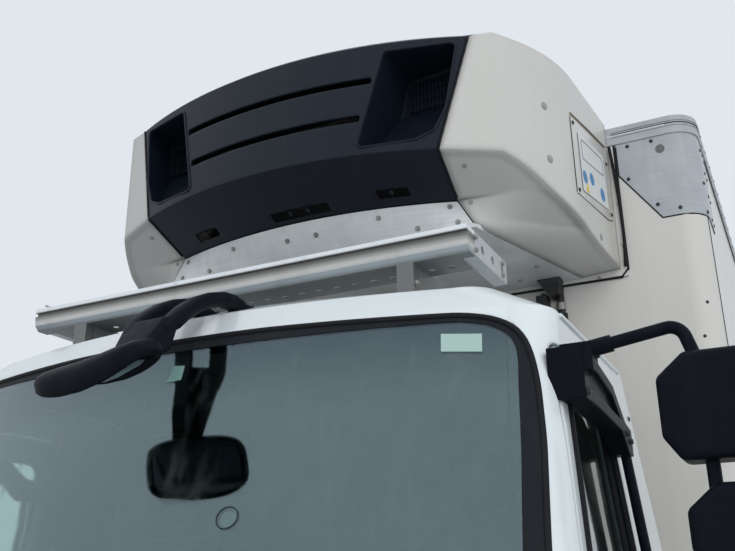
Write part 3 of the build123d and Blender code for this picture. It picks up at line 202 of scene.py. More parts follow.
FLOAT, TINT = "NodeSocketFloat", "NodeSocketColor"
road_film, film_in, film_out = new_group(
    "road_film",
    (("Colour", TINT), ("Dirt", TINT), ("Film", FLOAT), ("Streaks", FLOAT), ("Mottle", FLOAT),
     ("Roughness", FLOAT), ("Low", FLOAT), ("High", FLOAT)),
    (("Colour", TINT), ("Roughness", FLOAT), ("Mask", FLOAT)))
place = road_film.nodes.new("ShaderNodeTexCoord").outputs["Object"]
cloud = noise(road_film, place, 2.3, 5.0)
speck = noise(road_film, place, 38.0, 4.0, 0.7)
run_down = noise(road_film, stretched(road_film, place, (9.0, 9.0, 0.55)), 1.6, 4.0)
fine_run = noise(road_film, stretched(road_film, place, (34.0, 34.0, 1.1)), 1.3, 3.0)
heights = road_film.nodes.new("ShaderNodeSeparateXYZ")
road_film.links.new(place, heights.inputs[0])
low_film = spread(road_film, heights.outputs["Z"], film_in.outputs["High"], film_in.outputs["Low"])
low_film = sums(road_film, "MULTIPLY", low_film, spread(road_film, cloud, 0.25, 0.75, 0.45, 1.0))
low_film = sums(road_film, "MULTIPLY", low_film, spread(road_film, speck, 0.30, 0.62, 0.55, 1.0))
low_film = sums(road_film, "MULTIPLY", low_film, film_in.outputs["Film"])
runs = sums(road_film, "MULTIPLY", spread(road_film, run_down, 0.50, 0.78),
            spread(road_film, fine_run, 0.36, 0.66))
runs = sums(road_film, "MULTIPLY", runs, film_in.outputs["Streaks"])
film_mask = sums(road_film, "MAXIMUM", sums(road_film, "ADD", low_film, runs), 0.0)
shade = spread(road_film, cloud, 0.30, 0.72)
darker = blended(road_film, 1.0, film_in.outputs["Colour"], (0.72, 0.72, 0.70), "MULTIPLY")
mottled = blended(road_film, sums(road_film, "MULTIPLY", shade, film_in.outputs["Mottle"]),
                  film_in.outputs["Colour"], darker)
road_film.links.new(blended(road_film, film_mask, mottled, film_in.outputs["Dirt"]),
                    film_out.inputs["Colour"])
rougher = sums(road_film, "ADD", film_in.outputs["Roughness"], sums(road_film, "MULTIPLY", film_mask, 0.35))
patches = sums(road_film, "MULTIPLY", spread(road_film, speck, 0.3, 0.7, -0.15, 0.15),
               film_in.outputs["Mottle"])
rougher = sums(road_film, "ADD", rougher, patches)
road_film.links.new(rougher, film_out.inputs["Roughness"])
road_film.links.new(film_mask, film_out.inputs["Mask"])

# A sprayed or moulded skin: slow waves of the panel, orange peel of the paint or grain of the mould.
skin, skin_in, skin_out = new_group("surface_skin",
                                    (("Grain", FLOAT), ("Grain Size", FLOAT), ("Waves", FLOAT)),
                                    (("Height", FLOAT),))
place = skin.nodes.new("ShaderNodeTexCoord").outputs["Object"]
peel = skin.nodes.new("ShaderNodeTexNoise")
peel.inputs["Detail"].default_value = 2.0
skin.links.new(place, peel.inputs["Vector"])
skin.links.new(skin_in.outputs["Grain Size"], peel.inputs["Scale"])
wave = noise(skin, place, 3.1, 1.0)
skin.links.new(sums(skin, "ADD", sums(skin, "MULTIPLY", peel.outputs["Fac"], skin_in.outputs["Grain"]),
                    sums(skin, "MULTIPLY", wave, skin_in.outputs["Waves"])), skin_out.inputs["Height"])


def finish(name, colour, roughness, metallic=0.0, coat=0.0, film=0.5, streaks=0.12, mottle=0.35,
           low=0.35, high=1.35, dirt=(0.16, 0.14, 0.115), grain=0.0004, size=420.0, waves=0.0,
           glass=0.0, sheen=0.0, gloss=0.5, soft=0.0):
    """A finish of the truck: its colour under road film, with the skin of its paint or mould."""
    paint = bpy.data.materials.new(name)
    paint.use_nodes = True
    tree = paint.node_tree
    shader = tree.nodes["Principled BSDF"]
    film_node = tree.nodes.new("ShaderNodeGroup")
    film_node.node_tree = road_film
    film_node.inputs["Colour"].default_value = (*colour, 1.0)
    film_node.inputs["Dirt"].default_value = (*dirt, 1.0)
    for label, number in (("Film", film), ("Streaks", streaks), ("Mottle", mottle), ("Roughness", roughness),
                          ("Low", low), ("High", high)):
        film_node.inputs[label].default_value = number
    tree.links.new(film_node.outputs["Colour"], shader.inputs["Base Color"])
    tree.links.new(film_node.outputs["Roughness"], shader.inputs["Roughness"])
    skin_node = tree.nodes.new("ShaderNodeGroup")
    skin_node.node_tree = skin
    for label, number in (("Grain", grain), ("Grain Size", size), ("Waves", waves)):
        skin_node.inputs[label].default_value = number
    bump = tree.nodes.new("ShaderNodeBump")
    bump.inputs["Strength"].default_value = 1.0
    bump.inputs["Distance"].default_value = 1.0
    tree.links.new(skin_node.outputs["Height"], bump.inputs["Height"])
    if soft:
        rounding = tree.nodes.new("ShaderNodeBevel")
        rounding.samples = 6
        rounding.inputs["Radius"].default_value = soft
        tree.links.new(rounding.outputs["Normal"], bump.inputs["Normal"])
    tree.links.new(bump.outputs["Normal"], shader.inputs["Normal"])
    shader.inputs["Metallic"].default_value = metallic
    shader.inputs["Coat Weight"].default_value = coat
    shader.inputs["Coat Roughness"].default_value = 0.08
    shader.inputs["Transmission Weight"].default_value = glass
    shader.inputs["Sheen Weight"].default_value = sheen
    shader.inputs["Specular IOR Level"].default_value = gloss
    return paint


CLEAN = {"film": 0.0, "streaks": 0.0}


def film_of(paint):
    """The node that lays road film on a finish."""
    return next(n for n in paint.node_tree.nodes if n.type == "GROUP" and n.node_tree == road_film)


def object_axes(tree):
    """The X, Y and Z of each point of a piece, in the frame of the truck."""
    axes = tree.nodes.new("ShaderNodeSeparateXYZ")
    tree.links.new(tree.nodes.new("ShaderNodeTexCoord").outputs["Object"], axes.inputs[0])
    return axes.outputs


def dress(paint, *names):
    for name in names:
        nodes[name].data.materials.clear()
        nodes[name].data.materials.append(paint)


WELD = 0.00002          # points nearer than this are one point


def put(name, bm, paint, body, crease=35.0):
    """A finished piece from its bmesh: faces outward, at the origin, riding on its body."""
    bmesh.ops.remove_doubles(bm, verts=bm.verts, dist=WELD)
    bmesh.ops.recalc_face_normals(bm, faces=bm.faces)
    mesh = bpy.data.meshes.new(name)
    bm.to_mesh(mesh)
    bm.free()
    mesh.shade_smooth()
    mesh.set_sharp_from_angle(angle=math.radians(crease))
    piece = bpy.data.objects.new(name, mesh)
    scene.collection.objects.link(piece)
    mesh.materials.append(paint)
    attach(piece, body)
    return piece


def bar(bm, low, high, bevel=0.0, turned=None):
    """A block between two corners, with its edges rounded off."""
    low, high = Vector(low), Vector(high)
    verts = bmesh.ops.create_cube(bm, size=1.0)["verts"]
    bmesh.ops.scale(bm, vec=high - low, verts=verts)
    if turned:
        bmesh.ops.transform(bm, matrix=turned, verts=verts)
    bmesh.ops.translate(bm, vec=(low + high) / 2, verts=verts)
    if bevel:
        edges = list({edge for vert in verts for edge in vert.link_edges})
        bmesh.ops.bevel(bm, geom=edges, offset=bevel, segments=2, profile=0.5, affect="EDGES", material=-1,
                        clamp_overlap=True)


def block(bm, x, half, y, z, bevel=0.0, turned=None):
    """A bar that reaches half to each side of x; y and z are its (low, high)."""
    bar(bm, (x - half, y[0], z[0]), (x + half, y[1], z[1]), bevel, turned)


def rod(bm, start, end, radius, radius_end=None, sides=16):
    start, end = Vector(start), Vector(end)
    run = end - start
    stand = Matrix.Translation((start + end) / 2) @ run.to_track_quat("Z", "Y").to_matrix().to_4x4()
    bmesh.ops.create_cone(bm, cap_ends=True, segments=sides, radius1=radius,
                          radius2=radius if radius_end is None else radius_end, depth=run.length,
                          matrix=stand)


def bolt(bm, at, facing, across, proud=0.62):
    """A hexagon head on its washer, bedded a little into the surface."""
    at, facing = Vector(at), Vector(facing).normalized()
    rod(bm, at - facing * 0.002, at + facing * across * 0.16, across * 0.72, sides=14)
    rod(bm, at, at + facing * across * proud, across * 0.56, across * 0.50, sides=6)


def rivet(bm, at, facing, radius):
    at, facing = Vector(at), Vector(facing).normalized()
    rod(bm, at - facing * 0.002, at + facing * radius * 0.25, radius, sides=12)
    rod(bm, at + facing * radius * 0.25, at + facing * radius * 0.6, radius, radius * 0.45, sides=12)


def stamp(bm, mesh, matrix):
    """Add a copy of a small mesh, moved by a matrix."""
    start = len(bm.verts)
    bm.from_mesh(mesh)
    bm.verts.ensure_lookup_table()
    bmesh.ops.transform(bm, matrix=matrix, verts=bm.verts[start:])


def tube(name, points, radius, paint, body, closed=False, kind="POLY"):
    """A round trim, seal, pipe or handle along its points."""
    line = bpy.data.curves.new(name, "CURVE")
    line.dimensions = "3D"
    line.bevel_depth = radius
    line.bevel_resolution = 3
    line.use_fill_caps = True
    run = line.splines.new(kind)
    run.points.add(len(points) - 1)
    for point, at in zip(run.points, points):
        point.co = (*at, 1.0)
    run.use_cyclic_u = closed
    if kind == "NURBS":
        run.order_u = 3
        run.use_endpoint_u = not closed
    piece = bpy.data.objects.new(name, line)
    scene.collection.objects.link(piece)
    line.materials.append(paint)
    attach(piece, body)
    return piece


chassis_paint = finish("chassis_paint", (0.022, 0.022, 0.024), 0.42, film=0.85, high=1.5, coat=0.1,
                       size=260.0)
cast_black = finish("cast_black", (0.030, 0.029, 0.028), 0.62, film=0.9, grain=0.0009, size=180.0)
spring_steel = finish("spring_steel", (0.10, 0.085, 0.072), 0.55, metallic=0.6, film=0.8, mottle=0.9)
engine_grey = finish("engine_grey", (0.16, 0.165, 0.17), 0.5, metallic=0.35, film=0.8, grain=0.0008,
                     size=160.0)
dress(chassis_paint, "frame_rails")
dress(cast_black, "front_axle_beam", "rear_axle", "knuckle_left", "knuckle_right", "propshaft")
dress(spring_steel, "leaf_springs")
dress(engine_grey, "engine_block")

SIDES = ((1, "left"), (-1, "right"))
FRONT_AXLE_Y, REAR_AXLE_Y = -2.630, 1.570
WHEEL_HEIGHT = 0.400        # of the hubs
RAIL_FACE_X = 0.380         # outer face of a frame rail
SPRING_X = 0.345
frame_bolts = bmesh.new()
for side in (-1, 1):
    for y in (-3.690, -2.050, -1.860, -0.700, 0.500, 2.450, 3.500):
        for dy in (-0.045, 0.045):
            for z in (0.775, 0.835):
                rivet(frame_bolts, (side * RAIL_FACE_X, y + dy, z), (side, 0, 0), 0.010)
    for axle_y, half in ((FRONT_AXLE_Y, 0.622), (REAR_AXLE_Y, 0.672)):
        for end in (-1, 1):
            for dz in (0.020, 0.070, 0.120):
                rivet(frame_bolts, (side * RAIL_FACE_X, axle_y + end * half, 0.655 + dz), (side, 0, 0),
                      0.011)
put("frame_rivets", frame_bolts, chassis_paint, "chassis")

clamps = bmesh.new()
for axle_y, low_z, top in ((FRONT_AXLE_Y, 0.255, 0.376), (REAR_AXLE_Y, 0.335, 0.532)):
    for side in (-1, 1):
        block(clamps, side * SPRING_X, 0.062, (axle_y - 0.085, axle_y + 0.085), (top - 0.001, top + 0.018),
              0.004)
        for dy in (-0.066, 0.066):
            for dx in (-0.048, 0.048):
                rod(clamps, (side * SPRING_X + dx, axle_y + dy, low_z),
                    (side * SPRING_X + dx, axle_y + dy, top + 0.045), 0.009)
                bolt(clamps, (side * SPRING_X + dx, axle_y + dy, top + 0.018), (0, 0, 1), 0.026, 0.8)
        block(clamps, side * SPRING_X, 0.060, (axle_y - 0.082, axle_y + 0.082),
              (low_z - 0.004, low_z + 0.012), 0.004)
put("spring_clamps", clamps, spring_steel, "chassis")

dampers = bmesh.new()
for axle_y, lean in ((FRONT_AXLE_Y, -0.17), (REAR_AXLE_Y, 0.20)):
    for side in (-1, 1):
        foot, head = Vector((side * 0.455, axle_y, 0.36)), Vector((side * 0.405, axle_y + lean, 0.80))
        rod(dampers, foot, foot.lerp(head, 0.55), 0.034)
        rod(dampers, foot.lerp(head, 0.50), foot.lerp(head, 0.95), 0.042)
        for end in (foot, head):
            rod(dampers, end - Vector((0.030, 0, 0)), end + Vector((0.030, 0, 0)), 0.024)
        rod(dampers, foot, (side * SPRING_X, axle_y, 0.36), 0.016)
put("dampers", dampers, cast_black, "chassis")

# Brake air tanks across the frame: two steel drums with domed ends, strapped under the rear overhang.
# Air lines of black nylon run from them along the inner side of the left rail.
tanks = bmesh.new()
for y in (2.84, 3.16):
    rod(tanks, (-0.28, y, 0.60), (0.28, y, 0.60), 0.105, sides=32)
    for end in (-1, 1):
        rod(tanks, (end * 0.28, y, 0.60), (end * 0.315, y, 0.60), 0.105, 0.050, sides=32)
        block(tanks, end * 0.17, 0.018, (y - 0.112, y + 0.112), (0.50, 0.716), 0.004)
put("air_tanks", tanks, chassis_paint, "chassis")
for i, z in enumerate((0.716, 0.700)):
    tube("air_line_%d" % i, [(0.296, -3.2, z), (0.296, 0.4, z), (0.292, 2.1, z), (0.290, 3.15, z)], 0.006,
         cast_black, "chassis")

# Wheels: pressed steel discs sprayed silver, with ribbed commercial tyres. The tyres here stand for the
# plain solids of the frame: a spun carcass with four rain grooves and lugs cut into both shoulders.
wheel_silver = finish("wheel_silver", (0.50, 0.51, 0.52), 0.34, metallic=0.55, film=0.55, streaks=0.0,
                      low=0.05, high=0.95, size=300.0)
rubber = finish("tyre", (0.022, 0.021, 0.020), 0.78, film=0.55, streaks=0.0, low=-0.1, high=1.1,
                dirt=(0.085, 0.078, 0.066), grain=0.0008, size=520.0)
bright_steel = finish("wheel_nut_steel", (0.42, 0.41, 0.39), 0.36, metallic=0.9, film=0.5, low=0.05,
                      high=0.9)
dress(wheel_silver, "rim_front_left", "rim_front_right", "rims_rear_left", "rims_rear_right")

SHOULDER_LUGS = 54
WHEEL_NUTS = 6
TYRE_PROFILE = (        # radius, and distance from the tyre's middle
    (0.2235, -0.079), (0.236, -0.080), (0.252, -0.101), (0.270, -0.110), (0.300, -0.1165),
    (0.318, -0.1172), (0.320, -0.1158), (0.342, -0.1140), (0.358, -0.1105), (0.374, -0.1060),
    (0.388, -0.1010), (0.3945, -0.0930), (0.3975, -0.0840), (0.3985, -0.0620), (0.3880, -0.0600),
    (0.3880, -0.0520), (0.3990, -0.0500), (0.3998, -0.0240), (0.3880, -0.0220), (0.3880, -0.0130),
    (0.4000, -0.0110), (0.4000, 0.0),
)


def on_wheel(x, axle_y, radius, angle):
    """A point at a radius and angle round an axle."""
    return Vector((x, axle_y + radius * math.cos(angle), WHEEL_HEIGHT + radius * math.sin(angle)))


def tyre_mesh(bm, centre_x, axle_y):
    rim_run = [bm.verts.new((centre_x + x, axle_y, WHEEL_HEIGHT + r)) for r, x in TYRE_PROFILE]
    rim_run += [bm.verts.new((centre_x - x, axle_y, WHEEL_HEIGHT + r))
                for r, x in reversed(TYRE_PROFILE[:-1])]
    ring = [bm.edges.new(pair) for pair in zip(rim_run, rim_run[1:] + rim_run[:1])]
    bmesh.ops.spin(bm, geom=rim_run + ring, cent=(centre_x, axle_y, WHEEL_HEIGHT), axis=(1, 0, 0),
                   angle=math.tau, steps=96, use_merge=True)
    lug = bmesh.new()
    for side in (-1, 1):
        block(lug, side * 0.0985, 0.0115, (-0.0065, 0.0065), (0.3700, 0.3905), 0.002)
        block(lug, side * 0.0360, 0.0085, (-0.0030, 0.0030), (0.3975, 0.3990))
    lug_mesh = bpy.data.meshes.new("lug")
    lug.to_mesh(lug_mesh)
    lug.free()
    for step in range(SHOULDER_LUGS):
        turned = Matrix.Rotation(math.tau * step / SHOULDER_LUGS, 4, "X")
        stamp(bm, lug_mesh, Matrix.Translation((centre_x, axle_y, WHEEL_HEIGHT)) @ turned)
    bpy.data.meshes.remove(lug_mesh)


WHEELS = (              # name, side, axle, tyre centres, body and node
    ("front_left", 1, FRONT_AXLE_Y, (0.945,), "wheel_front_left", "tyre_front_left"),
    ("front_right", -1, FRONT_AXLE_Y, (0.945,), "wheel_front_right", "tyre_front_right"),
    ("rear_left", 1, REAR_AXLE_Y, (0.745, 1.015), "wheels_rear_left", "tyres_rear_left"),
    ("rear_right", -1, REAR_AXLE_Y, (0.745, 1.015), "wheels_rear_right", "tyres_rear_right"),
)
for label, side, axle_y, centres, body, node in WHEELS:
    carcass = bmesh.new()
    for x in centres:
        tyre_mesh(carcass, side * x, axle_y)
    ribbed = put("ribbed_tyre_" + label, carcass, rubber, body, 28.0)
    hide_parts(node)
    single = len(centres) == 1
    face, circle, cap_face = (1.001, 0.114, 1.029) if single else (0.894, 0.132, 0.984)
    studs = bmesh.new()
    outward = Vector((side, 0, 0))
    for i in range(WHEEL_NUTS):
        at = on_wheel(side * face, axle_y, circle, math.tau * (i + 0.5) / WHEEL_NUTS)
        rod(studs, at - outward * 0.004, at + outward * 0.010, 0.021, sides=20)
        rod(studs, at + outward * 0.006, at + outward * 0.030, 0.0165, 0.0155, sides=6)
        rod(studs, at, at + outward * 0.040, 0.010, 0.009, sides=12)
    put("wheel_nuts_" + label, studs, bright_steel, body)
    hub = bmesh.new()
    middle = Vector((side * cap_face, axle_y, WHEEL_HEIGHT))
    rod(hub, middle - outward * 0.004, middle + outward * 0.022, 0.070, 0.066, sides=40)
    rod(hub, middle + outward * 0.022, middle + outward * 0.034, 0.066, 0.040, sides=40)
    for i in range(WHEEL_NUTS):
        at = on_wheel(side * (cap_face + 0.022), axle_y, 0.058, math.tau * i / WHEEL_NUTS)
        bolt(hub, at, (side, 0, 0), 0.010)
    put("hub_cap_" + label, hub, cast_black if single else chassis_paint, body)
    valve = bmesh.new()
    rod(valve, (side * (face - 0.030), axle_y + 0.172, WHEEL_HEIGHT + 0.075),
        (side * (face + 0.028), axle_y + 0.176, WHEEL_HEIGHT + 0.072), 0.0045)
    rod(valve, (side * (face + 0.020), axle_y + 0.176, WHEEL_HEIGHT + 0.072),
        (side * (face + 0.032), axle_y + 0.177, WHEEL_HEIGHT + 0.0715), 0.006)
    put("tyre_valve_" + label, valve, rubber, body)

# Fuel tank, silencer and battery boxes, slung outside the rails: a rolled aluminium tank on steel straps,
# an aluminised silencer shell and a moulded battery lid with rubber latches.
brushed, brushed_in, brushed_out = new_group("brushed_metal", (("Colour", TINT), ("Along", FLOAT)),
                                             (("Colour", TINT), ("Roughness", FLOAT), ("Height", FLOAT)))
place = brushed.nodes.new("ShaderNodeTexCoord").outputs["Object"]
across = noise(brushed, stretched(brushed, place, (2.0, 2.0, 420.0)), 2.0, 3.0)
patch = noise(brushed, place, 5.0, 4.0)
dull = blended(brushed, 1.0, brushed_in.outputs["Colour"], (0.66, 0.67, 0.69), "MULTIPLY")
mask = sums(brushed, "MULTIPLY",
            spread(brushed, sums(brushed, "ADD", sums(brushed, "MULTIPLY", across, 0.45),
                                 sums(brushed, "MULTIPLY", patch, 0.55)), 0.38, 0.66), 0.8)
brushed.links.new(blended(brushed, mask, brushed_in.outputs["Colour"], dull), brushed_out.inputs["Colour"])
brushed.links.new(spread(brushed, across, 0.3, 0.7, 0.30, 0.46), brushed_out.inputs["Roughness"])
brushed.links.new(sums(brushed, "MULTIPLY", across, brushed_in.outputs["Along"]),
                  brushed_out.inputs["Height"])


def metal(name, colour, metallic, along, film=0.3, streaks=0.15, high=1.2):
    """Bare or anodised aluminium: a drawn surface with road film over it."""
    paint = finish(name, colour, 0.4, metallic=metallic, film=film, streaks=streaks, high=high, mottle=0.2)
    tree = paint.node_tree
    drawn = tree.nodes.new("ShaderNodeGroup")
    drawn.node_tree = brushed
    drawn.inputs["Colour"].default_value = (*colour, 1.0)
    drawn.inputs["Along"].default_value = along
    film_node = film_of(paint)
    tree.links.new(drawn.outputs["Colour"], film_node.inputs["Colour"])
    tree.links.new(drawn.outputs["Roughness"], film_node.inputs["Roughness"])
    bump = next(n for n in tree.nodes if n.type == "BUMP")
    tree.links.new(drawn.outputs["Height"], bump.inputs["Height"])
    return paint


tank_aluminium = metal("tank_aluminium", (0.56, 0.57, 0.58), 0.85, 0.0003, film=0.6)
box_plastic = finish("box_plastic", (0.030, 0.031, 0.033), 0.55, film=0.7, grain=0.0012, size=340.0)
dress(tank_aluminium, "fuel_tank")
dress(box_plastic, "side_boxes")

STRAP_CORNER_R = 0.0735
straps = bmesh.new()
for y in (-1.58, -0.90):
    for low, high in (((-1.0835, y - 0.024, 0.478), (-1.0795, y + 0.024, 0.762)),
                      ((-1.012, y - 0.024, 0.4065), (-0.50, y + 0.024, 0.4105)),
                      ((-1.012, y - 0.024, 0.8295), (-0.50, y + 0.024, 0.8335))):
        bar(straps, low, high, 0.0012)
    for sign, z in ((1, 0.762), (-1, 0.478)):
        corner = bmesh.ops.create_cone(straps, cap_ends=False, segments=48, radius1=STRAP_CORNER_R,
                                       radius2=STRAP_CORNER_R, depth=0.048,
                                       matrix=Matrix.Translation((-1.010, y, z - sign * 0.002))
                                       @ Matrix.Rotation(math.pi / 2, 4, "X"))
        drop = [v for v in corner["verts"]
                if v.co.x > -1.0095 or (v.co.z - z + sign * 0.002) * sign < -0.0005]
        bmesh.ops.delete(straps, geom=drop, context="VERTS")
    bolt(straps, (-1.083, y, 0.70), (-1, 0, 0), 0.018)
put("tank_straps", straps, bright_steel, "chassis")
FILLER_AT = Vector((-0.90, -1.36, 0.0))
CAP_RIBS = 16


def over_filler(height, out=0.0, angle=0.0):
    """A point over the tank's filler, set off its middle at an angle."""
    return FILLER_AT + Vector((out * math.cos(angle), out * math.sin(angle), height))


cap = bmesh.new()
rod(cap, over_filler(0.826), over_filler(0.850), 0.048, sides=32)
rod(cap, over_filler(0.850), over_filler(0.878), 0.056, 0.050, sides=32)
bar(cap, FILLER_AT + Vector((-0.045, -0.008, 0.872)), FILLER_AT + Vector((0.045, 0.008, 0.892)), 0.004)
for i in range(CAP_RIBS):
    angle = math.tau * i / CAP_RIBS
    rod(cap, over_filler(0.852, 0.055, angle), over_filler(0.875, 0.051, angle), 0.004, sides=6)
put("tank_cap", cap, box_plastic, "chassis")
box_trim = bmesh.new()
for y in (-1.60, -1.30):
    bar(box_trim, (1.0585, y - 0.020, 0.46), (1.0635, y + 0.020, 0.77), 0.001)
for y in (-0.99, -0.60):
    bar(box_trim, (1.0785, y - 0.022, 0.735), (1.094, y + 0.022, 0.79), 0.004)
    bar(box_trim, (1.084, y - 0.012, 0.66), (1.098, y + 0.012, 0.745), 0.004)
    rivet(box_trim, (1.080, y, 0.64), (1, 0, 0), 0.010)
for i in range(5):
    bar(box_trim, (1.0785, -0.96, 0.47 + i * 0.045), (1.0835, -0.63, 0.484 + i * 0.045), 0.002)
put("side_box_fittings", box_trim, box_plastic, "chassis")

# Side guards and mudguards: aluminium planks on steel posts under the floor bearers, black moulded
# wings over the wheels, with rubber flaps behind them and plain reflectors along the sides.
bar_aluminium = metal("bar_aluminium", (0.44, 0.455, 0.47), 0.75, 0.00025, film=0.35, streaks=0.25, high=1.1)
black_plastic = finish("black_plastic", (0.014, 0.014, 0.016), 0.46, film=0.45, grain=0.0005, size=380.0,
                       high=1.3, gloss=0.22)
dress(bar_aluminium, "guard_bars")
dress(black_plastic, "mudguards")
flap_rubber = finish("flap_rubber", (0.020, 0.020, 0.020), 0.7, film=0.7, grain=0.0008, size=300.0)
amber = finish("amber_lens", (0.80, 0.26, 0.02), 0.18, film=0.25, coat=0.6, grain=0.0)
red_lens = finish("red_lens", (0.52, 0.015, 0.012), 0.16, film=0.25, coat=0.6, grain=0.0)
clear_lens = finish("clear_lens", (0.74, 0.76, 0.78), 0.12, film=0.25, coat=0.6, grain=0.0)
guard_caps = bmesh.new()
for side in (-1, 1):
    for y0, y1 in ((-0.460, 0.990), (2.150, 3.610)):
        for z in (0.450, 0.690):
            for y in (y0, y1):
                bar(guard_caps, (side * 1.2025 - 0.0125, y - 0.004, z - 0.001),
                    (side * 1.2025 + 0.0120, y + 0.004, z + 0.091), 0.002)
            for line in (0.020, 0.045, 0.070):
                bar(guard_caps, (side * 1.2150 - 0.0010, y0 + 0.006, z + line - 0.0018),
                    (side * 1.2150 + 0.0008, y1 - 0.006, z + line + 0.0018))
put("guard_end_caps", guard_caps, box_plastic, "chassis")
flaps = bmesh.new()
flap_bolts = bmesh.new()
for side in (-1, 1):
    for y, x0, x1, z0, z1 in ((FRONT_AXLE_Y + 0.478, 0.79, 1.10, 0.36, 0.66),
                              (REAR_AXLE_Y + 0.452, 0.62, 1.14, 0.22, 0.64)):
        block(flaps, side * (x0 + x1) / 2, (x1 - x0) / 2, (y, y + 0.010), (z0, z1), 0.003)
        for i in range(4):
            x = side * (x0 + 0.05 + i * (x1 - x0 - 0.10) / 3)
            bolt(flap_bolts, (x, y + 0.010, z1 - 0.035), (0, 1, 0), 0.014)
put("mud_flaps", flaps, flap_rubber, "chassis")
put("mud_flap_bolts", flap_bolts, bright_steel, "chassis")
wing_ribs = bmesh.new()
for axle_y, radius, low in ((FRONT_AXLE_Y, 0.505, 18.0), (REAR_AXLE_Y, 0.463, 14.0)):
    for side in (-1, 1):
        inner, outer = ((0.770, 1.120) if axle_y < 0 else (0.600, 1.160))
        for x in (side * (inner + 0.006), side * (outer - 0.006)):
            start = math.radians(low + 2)
            stand = Matrix.Translation(on_wheel(x, axle_y, radius, start)) @ Matrix.Rotation(start, 4, "X")
            lip = bmesh.ops.create_circle(wing_ribs, cap_ends=True, segments=10, radius=0.0065, matrix=stand)
            geom = lip["verts"] + list({f for v in lip["verts"] for f in v.link_faces})
            bmesh.ops.spin(wing_ribs, geom=geom, cent=(x, axle_y, WHEEL_HEIGHT), axis=(1, 0, 0),
                           angle=math.radians(176 - 2 * low), steps=40)
put("mudguard_lips", wing_ribs, black_plastic, "chassis")
side_marks = bmesh.new()
mark_bases = bmesh.new()
for side in (-1, 1):
    for y in (-1.20, -0.30, 0.62, 2.55, 3.45):
        x = side * 1.3005
        block(mark_bases, x, 0.004, (y - 0.062, y + 0.062), (0.925 + 0.045, 0.965 + 0.060), 0.003)
        bar(side_marks, (x - 0.002, y - 0.052, 0.980), (x + side * 0.010 + 0.004, y + 0.052, 1.014), 0.004)
put("side_marker_bases", mark_bases, black_plastic, "chassis")
put("side_markers", side_marks, amber, "chassis")

# Front bumper, headlamps and steps: a moulded bumper painted white, clear lamp lenses over chromed bowls,
# and black step boxes whose treads are ribbed aluminium.
surfaces = {}
AHEAD, ASIDE = -5.0, 1.6        # rays start this far ahead of the truck and to its side


def onto(node, start, toward):
    """Where a line from a point first meets a node, and the way the surface faces there."""
    if node not in surfaces:
        copy = bmesh.new()
        copy.from_mesh(nodes[node].data)
        bmesh.ops.remove_doubles(copy, verts=copy.verts, dist=0.00001)
        surfaces[node] = BVHTree.FromBMesh(copy)
        copy.free()
    return surfaces[node].ray_cast(Vector(start), Vector(toward))[:2]


def from_front(node, x, z):
    return onto(node, (x, AHEAD, z), (0, 1, 0))


def from_side(node, side, y, z):
    return onto(node, (side * ASIDE, y, z), (-side, 0, 0))


def lifted(hits, lift):
    """Points raised off the places where lines met a surface."""
    return [hit + facing * lift for hit, facing in hits]


def rounded(outline, radius, steps=5):
    """A closed outline of pairs with its corners turned on arcs."""
    run = []
    count = len(outline)
    for i in range(count):
        before, corner, after = (Vector(outline[(i + k) % count]) for k in (-1, 0, 1))
        to_before, to_after = (before - corner).normalized(), (after - corner).normalized()
        half = to_before.angle(to_after) / 2
        if half > 1.53:
            run.append(tuple(corner))
            continue
        centre = corner + (to_before + to_after).normalized() * radius / math.sin(half)
        first = corner + to_before * radius / math.tan(half) - centre
        last = corner + to_after * radius / math.tan(half) - centre
        for k in range(steps + 1):
            mixed = first.lerp(last, k / steps).normalized() * radius
            run.append(tuple(centre + mixed))
    return run


bumper_white = finish("bumper_white", (0.60, 0.62, 0.63), 0.38, film=0.5, high=1.0, coat=0.35, size=300.0,
                      streaks=0.1)
lamp_lens = finish("lamp_lens", (0.93, 0.95, 0.96), 0.05, film=0.12, streaks=0.0, mottle=0.0, grain=0.0,
                   glass=0.92)
chrome = finish("lamp_reflector", (0.80, 0.81, 0.83), 0.10, metallic=1.0, mottle=0.1, grain=0.0, **CLEAN)
dress(bumper_white, "front_bumper")
dress(lamp_lens, "lamps")
dress(black_plastic, "entry_steps")

bowls = bmesh.new()
bulbs = bmesh.new()
amber_bowls = bmesh.new()
for side in (-1, 1):
    for x, z, radius in ((0.812, 0.660, 0.062), (0.934, 0.658, 0.062)):
        y = from_front("lamps", side * x, z)[0].y + 0.050
        rim_run = [bowls.verts.new((side * x, y + depth, z + r)) for r, depth in
                   ((radius + 0.004, -0.004), (radius, 0.0), (radius * 0.92, 0.022), (radius * 0.62, 0.046),
                    (0.016, 0.060), (0.0, 0.061))]
        ring = [bowls.edges.new(pair) for pair in zip(rim_run, rim_run[1:])]
        bmesh.ops.spin(bowls, geom=rim_run + ring, cent=(side * x, y, z), axis=(0, 1, 0), angle=math.tau,
                       steps=40, use_merge=True)
        rod(bulbs, (side * x, y + 0.060, z), (side * x, y + 0.026, z), 0.011, 0.008)
        rod(bulbs, (side * x, y + 0.026, z), (side * x, y + 0.016, z), 0.014, 0.014)
    y = from_front("lamps", side * 1.008, 0.66)[0].y
    block(amber_bowls, side * 1.006, 0.018, (y + 0.052, y + 0.085), (0.600, 0.722), 0.006)
bmesh.ops.remove_doubles(bowls, verts=bowls.verts, dist=WELD)
bmesh.ops.solidify(bowls, geom=bowls.faces[:], thickness=0.002)
put("headlamp_bowls", bowls, chrome, "chassis")
put("headlamp_bulbs", bulbs, clear_lens, "chassis")
put("indicator_bodies", amber_bowls, amber, "chassis")

